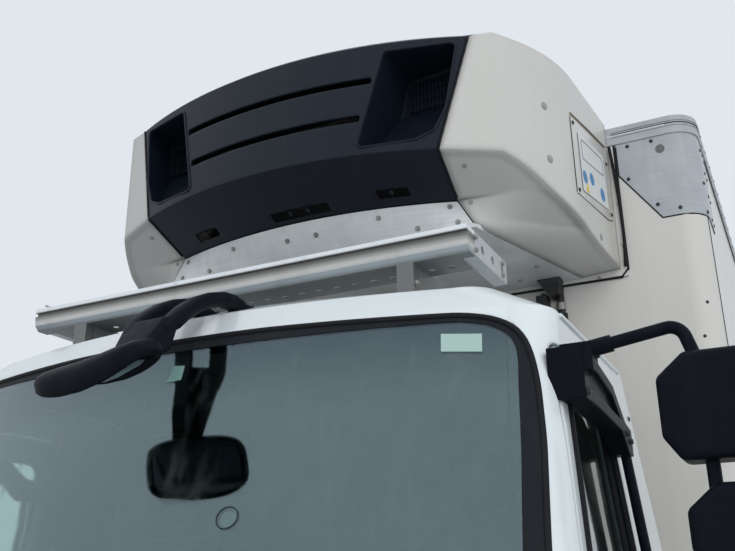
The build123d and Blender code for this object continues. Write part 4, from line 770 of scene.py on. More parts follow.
grille = bmesh.new()
for i in range(6):
    z = 0.655 + i * 0.027
    bar(grille, (-0.505, -3.832, z - 0.004), (0.505, -3.818, z + 0.004), 0.002)
for i in range(25):
    x = -0.48 + i * 0.04
    block(grille, x, 0.003, (-3.826, -3.816), (0.648, 0.792), 0.001)
put("bumper_grille", grille, black_plastic, "chassis")
plate = bmesh.new()
bar(plate, (-0.260, -3.868, 0.664), (0.260, -3.866, 0.776), 0.0008)
bar(plate, (-0.252, -3.8695, 0.672), (0.252, -3.8665, 0.768), 0.0014)
plate_white = finish("plate_white", (0.70, 0.71, 0.70), 0.32, film=0.25, high=1.1, coat=0.3)
put("blank_number_plate", plate, plate_white, "chassis")
holder = bmesh.new()
bar(holder, (-0.268, -3.866, 0.656), (0.268, -3.846, 0.784), 0.004)
for x in (-0.2, 0.2):
    rod(holder, (x, -3.848, 0.72), (x, -3.816, 0.72), 0.012)
put("number_plate_holder", holder, black_plastic, "chassis")
bumper_trim = bmesh.new()
for side in (-1, 1):
    hit, facing = from_front("front_bumper", side * 0.62, 0.49)
    rod(bumper_trim, hit - facing * 0.002, hit + facing * 0.003, 0.034, sides=28)
    rod(bumper_trim, hit + facing * 0.002, hit + facing * 0.005, 0.008, sides=10)
    for z in (0.44, 0.84):
        for x in (0.88, 1.07):
            rivet(bumper_trim, *from_front("front_bumper", side * x, z), 0.009)
put("bumper_caps", bumper_trim, box_plastic, "chassis")

tread_aluminium = metal("tread_aluminium", (0.40, 0.41, 0.42), 0.8, 0.0004, film=0.6)
treads = bmesh.new()
for side in (-1, 1):
    for z in (0.440, 0.690):
        block(treads, side * 1.020, 0.096, (-3.436, -3.159), (z - 0.001, z + 0.003))
        for i in range(9):
            x = side * (0.936 + i * 0.021)
            block(treads, x, 0.004, (-3.430, -3.165), (z + 0.002, z + 0.008), 0.0015)
put("step_treads", treads, tread_aluminium, "chassis")

# Cab: pressed steel panels, primed and painted white, with grey moulded trim inside. The inner skin of
# the one-piece shell is told from the outer by its place, so it takes the colour of the trim.
# It is found by the planes of the outer skin: the side leans in with height, and the front bows across.
CAB_FLOOR, CAB_HALF_WIDTH, SIDE_LEAN = 0.950, 1.140, 0.1011
FRONT_Y, REAR_Y, FRONT_BOW = 3.785, -2.335, 0.135
BEND_Z, FRONT_LEAN, ROOF_Z = 1.43, 0.4087, 2.505
inside, inside_in, inside_out = new_group("cab_inside", (("Depth", FLOAT),), (("Mask", FLOAT),))
axes = object_axes(inside)
depth = inside_in.outputs["Depth"]


def plus(first, second):
    return sums(inside, "ADD", first, second)


def less(first, second):
    return sums(inside, "SUBTRACT", first, second)


def times(first, second):
    return sums(inside, "MULTIPLY", first, second)


off_middle = sums(inside, "ABSOLUTE", axes["X"], 0.0)
side_line = less(less(CAB_HALF_WIDTH, times(less(axes["Z"], CAB_FLOOR), SIDE_LEAN)), depth)
past_side = sums(inside, "LESS_THAN", off_middle, side_line)
upper = times(sums(inside, "MAXIMUM", less(axes["Z"], BEND_Z), 0.0), FRONT_LEAN)
bow = times(times(axes["X"], axes["X"]), FRONT_BOW)
front_line = plus(plus(upper, bow), less(depth, FRONT_Y))
past_front = sums(inside, "GREATER_THAN", axes["Y"], front_line)
before_rear = sums(inside, "LESS_THAN", axes["Y"], less(REAR_Y, depth))
over_floor = sums(inside, "GREATER_THAN", axes["Z"], CAB_FLOOR + 0.020)
roof_line = sums(inside, "MINIMUM", ROOF_Z, less(2.623, times(off_middle, 0.227)))
shoulder = less(2.9145, times(off_middle, 0.570))
brow = less(plus(times(axes["Y"], 0.4167), 3.8176), times(bow, 0.42))
forehead = less(plus(times(axes["Y"], 1.049), 5.9231), times(bow, 1.41))
for slope in (shoulder, brow, forehead):
    roof_line = sums(inside, "MINIMUM", roof_line, slope)
under_roof = sums(inside, "LESS_THAN", axes["Z"], less(roof_line, depth))
inner_mask = times(times(times(past_side, past_front), times(before_rear, over_floor)), under_roof)
inside.links.new(inner_mask, inside_out.inputs["Mask"])

CAB_WHITE = (0.68, 0.745, 0.765)
cab_white = finish("cab_white", CAB_WHITE, 0.26, film=0.28, streaks=0.06, low=0.7, high=1.7, coat=0.5,
                   mottle=0.03, grain=0.000002, size=260.0, waves=0.00006, soft=0.010)
tree = cab_white.node_tree
film_node = film_of(cab_white)
inside_node = tree.nodes.new("ShaderNodeGroup")
inside_node.node_tree = inside
inside_node.inputs["Depth"].default_value = 0.035
trim_mask = inside_node.outputs["Mask"]
tree.links.new(blended(tree, trim_mask, CAB_WHITE, (0.075, 0.078, 0.082)), film_node.inputs["Colour"])
tree.links.new(spread(tree, trim_mask, 0.0, 1.0, 0.26, 0.62), film_node.inputs["Roughness"])
dress(cab_white, "cab_shell", "door_left", "door_right")

seal_rubber = finish("seal_rubber", (0.010, 0.011, 0.013), 0.6, film=0.2, streaks=0.05, grain=0.0001,
                     size=300.0, gloss=0.2)


def side_skin(z):
    """How far the outer side of the cab stands off the middle at a height."""
    return CAB_HALF_WIDTH - (z - CAB_FLOOR) * SIDE_LEAN


gauze = bmesh.new()
for i in range(4):
    z = 1.010 + i * 0.046 + 0.013
    for k in range(48):
        x = -0.4606 + k * 0.0196
        block(gauze, x, 0.0012, (-3.775, -3.768), (z - 0.013, z + 0.013))
    bar(gauze, (-0.468, -3.779, z - 0.0015), (0.468, -3.765, z + 0.0015))
put("front_panel_mesh", gauze, black_plastic, "cab")

cab_fittings = bmesh.new()
for side in (-1, 1):
    for y, z in ((-2.70, 1.00), (-2.40, 1.00), (-2.70, 2.20), (-2.47, 2.20)):
        rivet(cab_fittings, (side * (side_skin(z) - 0.0002), y, z), (side, 0, 0.1), 0.008)
    for i in range(6):
        z = 1.62 + i * 0.030
        bar(cab_fittings, (side * (side_skin(z) + 0.001) - 0.003, -2.62, z),
            (side * (side_skin(z) + 0.001) + 0.003, -2.44, z + 0.012), 0.002)
put("cab_side_vents", cab_fittings, black_plastic, "cab")
repeaters = bmesh.new()
for side in (-1, 1):
    hit = from_side("cab_shell", side, -3.545, 1.28)[0]
    verts = bmesh.ops.create_uvsphere(repeaters, u_segments=20, v_segments=12, radius=1.0)["verts"]
    bmesh.ops.scale(repeaters, vec=(0.012, 0.040, 0.024), verts=verts)
    bmesh.ops.translate(repeaters, vec=hit, verts=verts)
put("side_repeaters", repeaters, amber, "cab")
for side, name in SIDES:
    rail = [from_side("cab_shell", side, y, 2.338) for y in (-3.16, -3.05, -2.80, -2.55, -2.50)]
    tube("roof_gutter_" + name, lifted(rail, 0.002), 0.006, cab_white, "cab")
    grip = [(side * (side_skin(z) + d), -2.720, z) for z, d in
            ((1.320, -0.002), (1.320, 0.038), (1.350, 0.045), (1.720, 0.045), (1.750, 0.038),
             (1.750, -0.002))]
    tube("grab_handle_" + name, grip, 0.011, black_plastic, "cab", kind="NURBS")

# Cab doors: hollow pressings with a rubber run round the window, a pull handle over a moulded cup, and
# the mirror set bolted to the frame of the window.
tinted_glass = finish("tinted_glass", (0.74, 0.86, 0.82), 0.03, film=0.10, streaks=0.10, mottle=0.0,
                      grain=0.0, glass=1.0, waves=0.0012, dirt=(0.30, 0.32, 0.32))
tinted_glass.node_tree.nodes["Principled BSDF"].inputs["IOR"].default_value = 2.00
mirror_glass = finish("mirror_glass", (0.78, 0.80, 0.82), 0.03, metallic=1.0, film=0.05, streaks=0.0,
                      mottle=0.0, grain=0.0)
dress(tinted_glass, "door_glass_left", "door_glass_right")
mirror_black = finish("mirror_black", (0.004, 0.006, 0.010), 0.46, film=0.04, streaks=0.04, grain=0.00022,
                      size=420.0, gloss=0.08, soft=0.008)
dress(mirror_black, "mirror_left", "mirror_right")
WINDOW = ((-3.400, 1.500), (-3.230, 2.165), (-2.845, 2.165), (-2.845, 1.500))
DOOR_EDGE = ((-3.462, 1.018), (-3.462, 1.439), (-3.269, 2.237), (-2.778, 2.237), (-2.778, 1.018))
for side, name in SIDES:
    body = "cab_door_" + name
    run = [(side * (side_skin(z) + 0.001), y, z) for y, z in rounded(WINDOW, 0.045)]
    tube("window_rubber_" + name, run, 0.009, seal_rubber, body, closed=True)
    run = [(side * (side_skin(z) - 0.016), y, z) for y, z in rounded(WINDOW, 0.045)]
    tube("glass_channel_" + name, run, 0.012, seal_rubber, body, closed=True)
    run = [(side * (side_skin(z) - 0.030), y, z) for y, z in rounded(DOOR_EDGE, 0.030)]
    tube("door_seal_" + name, run, 0.005, seal_rubber, body, closed=True)
    belt = bmesh.new()
    z = 1.470
    block(belt, side * side_skin(z), 0.004, (-3.435, -2.800), (z - 0.012, z + 0.012), 0.003)
    put("belt_moulding_" + name, belt, black_plastic, body)
    handle = bmesh.new()
    x = side * (side_skin(1.355) - 0.0145)
    bar(handle, (x - 0.012, -2.928, 1.340), (x + 0.013, -2.812, 1.370), 0.006)
    bar(handle, (side * (side_skin(1.33) - 0.0225) - 0.002, -2.934, 1.296),
        (side * (side_skin(1.33) - 0.0225) + 0.002, -2.806, 1.374))
    put("door_handle_" + name, handle, black_plastic, body)
    lock = bmesh.new()
    x = side_skin(1.265)
    rod(lock, (side * (x - 0.004), -2.870, 1.265), (side * (x + 0.004), -2.870, 1.2655), 0.013, sides=24)
    block(lock, side * (x + 0.004), 0.0012, (-2.8715, -2.8685), (1.258, 1.272))
    put("door_lock_" + name, lock, bright_steel, body)
    rest = bmesh.new()
    x = side_skin(1.30) - 0.060
    block(rest, side * (x - 0.028), 0.030, (-3.260, -2.840), (1.285, 1.335), 0.012)
    block(rest, side * (x - 0.006), 0.008, (-3.400, -2.840), (1.060, 1.220), 0.006)
    put("door_armrest_" + name, rest, black_plastic, body)
    glass = bmesh.new()
    rim = bmesh.new()
    for x0, x1, z0, z1 in ((1.262, 1.409, 1.966, 2.136), (1.291, 1.409, 1.746, 1.869)):
        low, high = sorted((side * x0, side * x1))
        bar(glass, (low, -3.2595, z0), (high, -3.2565, z1), 0.001)
        for a, b in (((low - 0.003, z0 - 0.003), (high + 0.003, z0 + 0.004)),
                     ((low - 0.003, z1 - 0.004), (high + 0.003, z1 + 0.003)),
                     ((low - 0.003, z0), (low + 0.004, z1)), ((high - 0.004, z0), (high + 0.003, z1))):
            bar(rim, (a[0], -3.2590, a[1]), (b[0], -3.2535, b[1]), 0.001)
    put("mirror_glass_" + name, glass, mirror_glass, body)
    put("mirror_rims_" + name, rim, black_plastic, body)
    screws = bmesh.new()
    for y, z in ((-3.300, 2.115), (-3.270, 2.200), (-2.860, 2.070), (-2.895, 2.085)):
        hit, facing = onto("mirror_" + name, (side * 1.15, y, z), (-side, 0, 0))
        if hit:
            bolt(screws, hit, facing, 0.013)
    for z in (1.398, 1.426):
        for y in (-3.285, -2.848):
            x = side_skin(1.41) + 0.014
            bolt(screws, (side * x, y + 0.014, z), (side, 0, 0), 0.012)
    put("mirror_bolts_" + name, screws, cast_black, body)

# Windscreen: laminated glass in a black rubber, with a fired black border inside its edge and two wipers
# parked along the bottom. The glass is darker and bluer along its top edge.
SCREEN_BAND = (         # outer x and z, inner x and z, from the bottom centre up the left side
    (0.000, 1.487, 0.000, 1.560), (0.700, 1.488, 0.700, 1.560), (1.020, 1.489, 0.975, 1.562),
    (1.047, 1.500, 0.990, 1.580), (1.017, 1.785, 0.973, 1.790), (1.000, 2.000, 0.958, 2.000),
    (0.983, 2.131, 0.945, 2.129), (0.970, 2.194, 0.941, 2.187), (0.954, 2.245, 0.934, 2.235),
    (0.924, 2.288, 0.909, 2.275), (0.869, 2.315, 0.860, 2.299), (0.800, 2.327, 0.795, 2.310),
    (0.300, 2.339, 0.300, 2.309), (0.000, 2.340, 0.000, 2.308),
)
windscreen_glass = finish("windscreen_glass", (0.50, 0.66, 0.64), 0.03, film=0.05, streaks=0.55, mottle=0.0,
                          grain=0.0, glass=1.0, waves=0.0004, dirt=(0.22, 0.24, 0.25))
tree = windscreen_glass.node_tree
shader = tree.nodes["Principled BSDF"]
GLASS_TINT = (0.76, 0.95, 1.0)
shader.inputs["IOR"].default_value = 2.15
shader.inputs["Specular Tint"].default_value = (*GLASS_TINT, 1.0)
see_through = spread(tree, film_of(windscreen_glass).outputs["Mask"], 0.0, 1.0, 1.0, 0.80)
tree.links.new(see_through, shader.inputs["Transmission Weight"])
shade_band = spread(tree, object_axes(tree)["Z"], 2.130, 2.325)
shade_tint = blended(tree, shade_band, GLASS_TINT, (0.40, 0.50, 0.62))
tree.links.new(shade_tint, shader.inputs["Specular Tint"])
dress(windscreen_glass, "windscreen")
frit = finish("fired_border", (0.008, 0.010, 0.013), 0.55, film=0.1, streaks=0.1, mottle=0.2, grain=0.0001,
              gloss=0.2)
half_band = []
for first, last in zip(SCREEN_BAND, SCREEN_BAND[1:]):
    steps = max(1, int(math.hypot(last[0] - first[0], last[1] - first[1]) / 0.016))
    for k in range(steps):
        half_band.append([a + (b - a) * k / steps for a, b in zip(first, last)])
half_band.append(list(SCREEN_BAND[-1]))
for _ in range(3):
    triples = zip(half_band, half_band[1:], half_band[2:])
    middle = [[(a + 2 * b + c) / 4 for a, b, c in zip(*rows)] for rows in triples]
    half_band = [half_band[0], *middle, half_band[-1]]
band_rows = half_band + [[-a, b, -c, d] for a, b, c, d in reversed(half_band[1:-1])]
border = bmesh.new()
loops = []
for mix in (0.0, 0.25, 0.5, 0.75, 1.0):
    hits = [from_front("windscreen", ox + (ix - ox) * mix, oz + (iz - oz) * mix)
            for ox, oz, ix, iz in band_rows]
    ring = [border.verts.new(at) for at in lifted(hits, 0.0016)]
    loops.append([border.edges.new(pair) for pair in zip(ring, ring[1:] + ring[:1])])
for outer_loop, inner_loop in zip(loops, loops[1:]):
    bmesh.ops.bridge_loops(border, edges=outer_loop + inner_loop)
bmesh.ops.recalc_face_normals(border, faces=border.faces)
bmesh.ops.solidify(border, geom=border.faces[:], thickness=0.0016)
put("screen_border", border, frit, "cab")
gasket = [from_front("windscreen", ox, oz) for ox, oz, *_ in band_rows]
tube("screen_rubber", lifted(gasket, 0.001), 0.0075, seal_rubber, "cab", closed=True)

WIPERS = (              # pivot x, x of the arm's tip, and the blade's ends
    ("left", 0.62, 0.10, (-0.26, 0.46)),
    ("right", -0.30, -0.78, (-0.98, -0.40)),
)
BLADE_Z = 1.575
for label, pivot_x, tip_x, blade in WIPERS:
    knuckle_at, facing = from_front("cab_shell", pivot_x, 1.452)
    wiper = bmesh.new()
    rod(wiper, knuckle_at - facing * 0.004, knuckle_at + facing * 0.030, 0.020, 0.015, sides=20)
    elbow = knuckle_at + facing * 0.026
    mid, mid_facing = from_front("windscreen", tip_x + 0.02, BLADE_Z)
    hook = mid + mid_facing * 0.034
    for lift in (0.0, 0.006):
        rod(wiper, elbow + Vector((0, 0, lift)), hook + Vector((0, 0, lift)), 0.007, 0.004, sides=10)
    put("wiper_arm_" + label, wiper, cast_black, "cab")
    spine, edge = [], []
    for k in range(11):
        x = blade[0] + (blade[1] - blade[0]) * k / 10
        hit, facing = from_front("windscreen", x, BLADE_Z)
        spine.append(hit + facing * 0.020)
        edge.append(hit + facing * 0.006)
    tube("wiper_spine_" + label, spine, 0.0055, cast_black, "cab")
    tube("wiper_edge_" + label, edge, 0.0045, seal_rubber, "cab")
cowl = bmesh.new()
for side in (-1, 1):
    for x in (0.16, 0.46, 0.76, 0.94):
        rivet(cowl, *from_front("cab_shell", side * x, 1.445), 0.008)
put("cowl_screws", cowl, black_plastic, "cab")

# On the windscreen: a bare toll tag and a small bare label on the glass, and a round rain sensor behind it
# that shows as a pale pad in a dark ring.
tag_white = finish("tag_white", (0.36, 0.51, 0.47), 0.45, mottle=0.25, grain=0.0003, size=200.0, **CLEAN)
label_green = finish("label_green", (0.20, 0.37, 0.34), 0.50, mottle=0.30, grain=0.0003, size=200.0, **CLEAN)
TAGS = (                # corners by x and z
    ("toll_tag", tag_white, ((0.762, 2.278), (0.855, 2.271), (0.860, 2.223), (0.768, 2.230))),
    ("small_label", label_green, ((0.061, 2.266), (0.096, 2.262), (0.100, 2.222), (0.056, 2.218))),
)


def thickened(bm, corners, shift):
    """Add a flat sheet over the corners, thickened by a shift; the raised face's edges come back."""
    face = bm.faces.new([bm.verts.new(at) for at in corners])
    pulled = bmesh.ops.extrude_face_region(bm, geom=[face])["geom"]
    bmesh.ops.translate(bm, vec=shift, verts=[g for g in pulled if isinstance(g, bmesh.types.BMVert)])
    return [g for g in pulled if isinstance(g, bmesh.types.BMEdge)]


for name, paint, corners in TAGS:
    tag = bmesh.new()
    hits = [from_front("windscreen", x, z) for x, z in corners]
    thickened(tag, lifted(hits, 0.0014), -hits[-1][1] * 0.0012)
    put(name, tag, paint, "cab")
sensor = bmesh.new()
hit, facing = from_front("windscreen", 0.352, 1.864)
rod(sensor, hit - facing * 0.0105, hit - facing * 0.022, 0.026, 0.024, sides=36)
rod(sensor, hit - facing * 0.020, hit - facing * 0.050, 0.017, 0.014, sides=24)
put("rain_sensor", sensor, black_plastic, "cab")
sensor_face = bmesh.new()
rod(sensor_face, hit - facing * 0.0098, hit - facing * 0.0112, 0.018, sides=32)
put("rain_sensor_pad", sensor_face, tag_white, "cab")
SENSOR_RING_R, RING_STEPS = 0.0255, 32
ring_across = facing.cross(Vector((1, 0, 0))).normalized()
ring_up = facing.cross(ring_across)
sensor_ring = []
for i in range(RING_STEPS):
    angle = math.tau * i / RING_STEPS
    spoke = ring_across * math.cos(angle) + ring_up * math.sin(angle)
    sensor_ring.append(hit + facing * 0.0012 + spoke * SENSOR_RING_R)
tube("rain_sensor_ring", sensor_ring, 0.0012, black_plastic, "cab", closed=True)

# The look-down mirror and the inner mirror: black moulded heads with silvered glass, the look-down glass
# painted dark as a painted reflection of the road below. The outer head faces down and back to the driver,
# and hangs before the screen from a block on two flat arms off the roof.
HEAD_AT = Vector((0.068, -3.711, 2.202))
HEAD_ACROSS = Vector((0.992, -0.060, 0.128)).normalized()
HEAD_BACK = Vector((-0.030, 0.924, 0.375)).normalized()
HEAD_UP = HEAD_ACROSS.cross(HEAD_BACK)
HEAD_HALF_WIDTH, HEAD_HALF_DEPTH = 0.163, 0.073
HEAD_SAG = 0.030        # its middle hangs this far below its ends
HEAD_SIDES, ARM_SIDES = 64, 16


def head_ring(bm, size, height):
    """One ring of the head: a squared oval, a little wider along its front edge."""
    ring = []
    for i in range(HEAD_SIDES):
        angle = math.tau * i / HEAD_SIDES
        u = math.copysign(abs(math.cos(angle)) ** 0.42, math.cos(angle))
        w = math.copysign(abs(math.sin(angle)) ** 0.52, math.sin(angle))
        across = u * (HEAD_HALF_WIDTH - 0.008 * w) * size
        bow = (0.008 if w > 0 else 0.012) * (1 - u * u) * w
        ring.append(bm.verts.new(HEAD_AT + HEAD_ACROSS * across
                                 + HEAD_BACK * (w * HEAD_HALF_DEPTH * size + bow)
                                 + HEAD_UP * (height * (1 - 0.16 * (u * size) ** 2)
                                              - HEAD_SAG * (1 - (u * size) ** 2))))
    return ring


def skinned(bm, rings):
    """Walls between rings of equal corners, closed over the first and the last."""
    for first, last in zip(rings, rings[1:]):
        for i in range(len(first)):
            k = (i + 1) % len(first)
            bm.faces.new((first[i], first[k], last[k], last[i]))
    bm.faces.new(rings[0])
    bm.faces.new(rings[-1])


def mirror_head(bm, profile):
    """A closed head through a run of rings, each given by its size and height."""
    skinned(bm, [head_ring(bm, size, height) for size, height in profile])


def strap(bm, x, run, width, thickness):
    """A flat moulded arm along a run of (y, z) points, with rounded edges and a narrow root."""
    rings = []
    for i, (y, z) in enumerate(run):
        before, after = run[max(i - 1, 0)], run[min(i + 1, len(run) - 1)]
        root = 0.5 if i == 0 else 1.0
        along = Vector((0, after[0] - before[0], after[1] - before[1])).normalized()
        out = Vector((0, -along.z, along.y))
        ring = []
        for k in range(ARM_SIDES):
            angle = math.tau * k / ARM_SIDES
            u = math.copysign(abs(math.cos(angle)) ** 0.5, math.cos(angle))
            w = math.copysign(abs(math.sin(angle)) ** 0.7, math.sin(angle))
            ring.append(bm.verts.new(Vector((x + u * root * width / 2, y, z))
                                     + out * w * root * thickness / 2))
        rings.append(ring)
    skinned(bm, rings)


HEAD_PROFILE = (        # size and height of each ring
    (0.900, 0.005), (0.915, -0.006), (0.960, -0.013), (0.995, -0.008), (1.000, 0.006),
    (0.985, 0.020), (0.930, 0.034), (0.800, 0.045), (0.560, 0.053), (0.240, 0.056),
)
outer_head = bmesh.new()
mirror_head(outer_head, HEAD_PROFILE)
look_down = put("front_mirror_head", outer_head, mirror_black, "cab", 50.0)
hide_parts("front_mirror")
ARM_AT = (0.000, 0.118)
arms = bmesh.new()
BLOCK_FOOT = ((0.004, -3.645, 2.202), (0.092, -3.655, 2.214), (0.141, -3.552, 2.272), (0.014, -3.560, 2.238))
BLOCK_TOP = ((-0.018, -3.545, 2.362), (0.114, -3.555, 2.360), (0.143, -3.520, 2.374),
             (-0.025, -3.500, 2.380))
skinned(arms, [[arms.verts.new(at) for at in corners] for corners in (BLOCK_FOOT, BLOCK_TOP)])
bmesh.ops.recalc_face_normals(arms, faces=arms.faces)
bmesh.ops.bevel(arms, geom=arms.edges[:], offset=0.006, segments=3, profile=0.5, affect="EDGES", material=-1)
FOOT_Y = -3.232
ARM_RUN = ((-3.556, 2.322), (-3.528, 2.352), (-3.490, 2.388), (-3.440, 2.424), (-3.385, 2.452),
           (-3.330, 2.470), (-3.285, 2.476), (-3.250, 2.470), (-3.222, 2.456))


def roof_at(x):
    """The height of the cab's roof under the foot of an arm."""
    return onto("cab_shell", (x, FOOT_Y, 5.0), (0, 0, -1))[0].z


for x in ARM_AT:
    strap(arms, x, ARM_RUN, 0.048, 0.042)
    foot_z = roof_at(x)
    block(arms, x, 0.030, (FOOT_Y - 0.030, FOOT_Y + 0.030), (foot_z - 0.014, foot_z + 0.008), 0.006)
put("front_mirror_arms", arms, mirror_black, "cab", 40.0)
# The look-down glass is a dark metallic mirror. Its colour is a painted reflection of the dark road it
# faces.
shaded_glass = finish("look_down_glass_painted_dark", (0.10, 0.115, 0.13), 0.05, metallic=1.0, film=0.0, streaks=0.05,
                      grain=0.0)
outer_glass = bmesh.new()
mirror_head(outer_glass, ((0.890, 0.008), (0.885, 0.002), (0.60, -0.003), (0.25, -0.005)))
put("front_mirror_glass", outer_glass, shaded_glass, "cab", 50.0)
inner = bmesh.new()
bar(inner, (0.015, -3.470, 1.948), (0.315, -3.428, 2.086), 0.018)
for x0, x1 in ((0.135, 0.085), (0.195, 0.235)):
    rod(inner, (x0, -3.446, 2.070), (x1, -3.372, 2.325), 0.016, 0.020)
bar(inner, (0.070, -3.392, 2.306), (0.250, -3.352, 2.330), 0.006)
put("inner_mirror_head", inner, mirror_black, "cab")
inner_glass = bmesh.new()
bar(inner_glass, (0.026, -3.4285, 1.960), (0.304, -3.4265, 2.074), 0.001)
put("inner_mirror_glass", inner_glass, mirror_glass, "cab")
arm_screws = bmesh.new()
for x in ARM_AT:
    for dx in (-0.021, 0.021):
        bolt(arm_screws, (x + dx, FOOT_Y + 0.020, roof_at(x) + 0.0075), (0, 0, 1), 0.010)
put("mirror_arm_screws", arm_screws, cast_black, "cab")

# Roof bar: a drawn aluminium section on two feet, with a perforated step plate and bolted end channels.
roof_aluminium = metal("roof_aluminium", (0.58, 0.60, 0.62), 0.70, 0.00025, film=0.0, streaks=0.25)
tree = roof_aluminium.node_tree
axes = object_axes(tree)
# The front face of the bar is coloured in bands by height that are painted light: a painted highlight along
# its top edge, with bands of painted shade and lighter bands down the profile below it.
on_face = sums(tree, "LESS_THAN", axes["Y"], -3.1010)
painted_bar_light = (0.20, 0.21, 0.21)
ROOF_BAR_PAINTED_LIGHT = (      # each from a height up
    (2.5535, (0.26, 0.28, 0.28)), (2.5600, (0.44, 0.48, 0.51)), (2.5720, (0.62, 0.61, 0.59)),
    (2.5870, (0.40, 0.39, 0.37)), (2.5960, (0.20, 0.195, 0.185)), (2.6160, (0.88, 0.90, 0.92)),
)
for above, colour in ROOF_BAR_PAINTED_LIGHT:
    painted_bar_light = blended(tree, spread(tree, axes["Z"], above - 0.004, above + 0.004), painted_bar_light, colour)
# Off the front face, the bar is a darker grey below 2.56 m.
sheet = blended(tree, sums(tree, "LESS_THAN", axes["Z"], 2.5595), (0.58, 0.60, 0.62), (0.26, 0.28, 0.28))
tree.links.new(blended(tree, on_face, sheet, painted_bar_light), film_of(roof_aluminium).inputs["Colour"])
dress(roof_aluminium, "light_bar")
bar_bolts = bmesh.new()
for side in (-1, 1):
    for y in (-3.095, -2.870):
        for z in (2.575, 2.612):
            bolt(bar_bolts, (side * 0.775, y, z), (side, 0, 0), 0.012)
    for y in (-3.125, -2.935):
        bolt(bar_bolts, (side * 0.610, y, 2.500), (side, 0, 0), 0.016)
        bolt(bar_bolts, (side * 0.585, y, 2.400), (0, -1, 0), 0.010)
for i in range(13):
    rivet(bar_bolts, (-0.72 + i * 0.12, -3.0145, 2.559), (0, 0, 1), 0.006)
put("roof_bar_bolts", bar_bolts, bright_steel, "cab")
hook = bmesh.new()
rod(hook, (-0.738, -3.120, 2.624), (-0.741, -3.120, 2.638), 0.005)
rod(hook, (-0.740, -3.120, 2.636), (-0.770, -3.126, 2.652), 0.005, 0.003)
put("roof_bar_hook", hook, bright_steel, "cab")

# Inside the cab: a moulded dashboard with instruments and vents, a stalked steering column, a gear lever,
# a cloth headlining and webbing belts from the door pillars.
trim_plastic = finish("trim_plastic", (0.045, 0.047, 0.050), 0.62, grain=0.0009, size=420.0, **CLEAN)
wheel_rubber = finish("wheel_rubber", (0.020, 0.020, 0.021), 0.50, grain=0.0006, size=600.0, **CLEAN)
dress(trim_plastic, "dashboard")
dress(wheel_rubber, "steering_wheel")
SEAT_X = 0.600          # of the driver's seat and steering wheel
dash = bmesh.new()
bar(dash, (0.400, -3.440, 1.470), (0.800, -3.318, 1.545), 0.030)
bar(dash, (-0.020, -3.400, 1.330), (0.330, -3.322, 1.475), 0.014)
for x in (-0.80, -0.34, 0.885):
    block(dash, x, 0.072, (-3.345, -3.334), (1.395, 1.462), 0.006)
    for i in range(5):
        block(dash, x, 0.064, (-3.336, -3.328), (1.403 + i * 0.012, 1.406 + i * 0.012), 0.001)
bar(dash, (-0.82, -3.345, 1.315), (-0.20, -3.331, 1.378), 0.006)
rod(dash, (0.210, -3.060, 1.120), (0.200, -3.090, 1.400), 0.010)
rod(dash, (0.200, -3.085, 1.395), (0.198, -3.095, 1.470), 0.024, 0.019, sides=24)
rod(dash, (0.210, -3.060, 1.112), (0.209, -3.062, 1.170), 0.060, 0.018, sides=24)
for x in (0.455, 0.745):
    rod(dash, (SEAT_X, -3.415, 1.415), (x, -3.345, 1.455), 0.008, 0.006)
put("dash_fittings", dash, trim_plastic, "cab")
dials = bmesh.new()
for x in (SEAT_X - 0.095, SEAT_X, SEAT_X + 0.095):
    radius = 0.042 if x != SEAT_X else 0.026
    rod(dials, (x, -3.3195, 1.507), (x, -3.3145, 1.507), radius * 0.82, sides=32)
    for i in range(11):
        angle = math.radians(225 - i * 27)
        at = Vector((x + radius * 0.70 * math.cos(angle), -3.3140, 1.507 + radius * 0.70 * math.sin(angle)))
        rod(dials, at, at + Vector((0, 0.0012, 0)), 0.0016, sides=6)
for x in (0.045, 0.105, 0.205, 0.265):
    rod(dials, (x, -3.323, 1.375), (x, -3.308, 1.375), 0.015, 0.012, sides=24)
bar(dials, (0.030, -3.3235, 1.405), (0.280, -3.3195, 1.462), 0.002)
put("dash_instruments", dials, tag_white, "cab")
pad = bmesh.new()
centre, axis = Vector((SEAT_X, -3.330, 1.530)), Vector((0, 0.5, 0.866))
rod(pad, centre - axis * 0.004, centre + axis * 0.016, 0.064, 0.056, sides=36)
put("steering_wheel_pad", pad, wheel_rubber, "steering_wheel_body")
lining_cloth = finish("headlining", (0.20, 0.205, 0.21), 0.95, grain=0.0016, size=900.0, sheen=0.3, **CLEAN)
lining = bmesh.new()
bar(lining, (-0.775, -3.240, 2.388), (0.775, -2.560, 2.398), 0.004)
for x0, x1 in ((-0.70, -0.12), (0.20, 0.72)):
    bar(lining, (x0, -3.300, 2.352), (x1, -3.165, 2.364), 0.005)
put("headlining", lining, lining_cloth, "cab")
webbing = finish("belt_webbing", (0.030, 0.030, 0.032), 0.8, grain=0.0012, size=1400.0, sheen=0.2, **CLEAN)
belts = bmesh.new()
for side in (-1, 1):
    low, high = Vector((side * 0.880, -2.640, 1.200)), Vector((side * 0.955, -2.520, 2.020))
    lean = (high - low).to_track_quat("Z", "Y").to_matrix().to_4x4()
    reach = (high - low).length / 2
    mid = (low + high) / 2
    bar(belts, mid - Vector((0.0010, 0.023, reach)), mid + Vector((0.0010, 0.023, reach)), 0.0, lean)
    bar(belts, high - Vector((0.012, 0.030, 0.030)), high + Vector((0.012, 0.030, 0.030)), 0.008)
    block(belts, side * 0.330, 0.010, (-2.760, -2.720), (1.200, 1.380), 0.004)
put("seat_belts", belts, webbing, "cab")

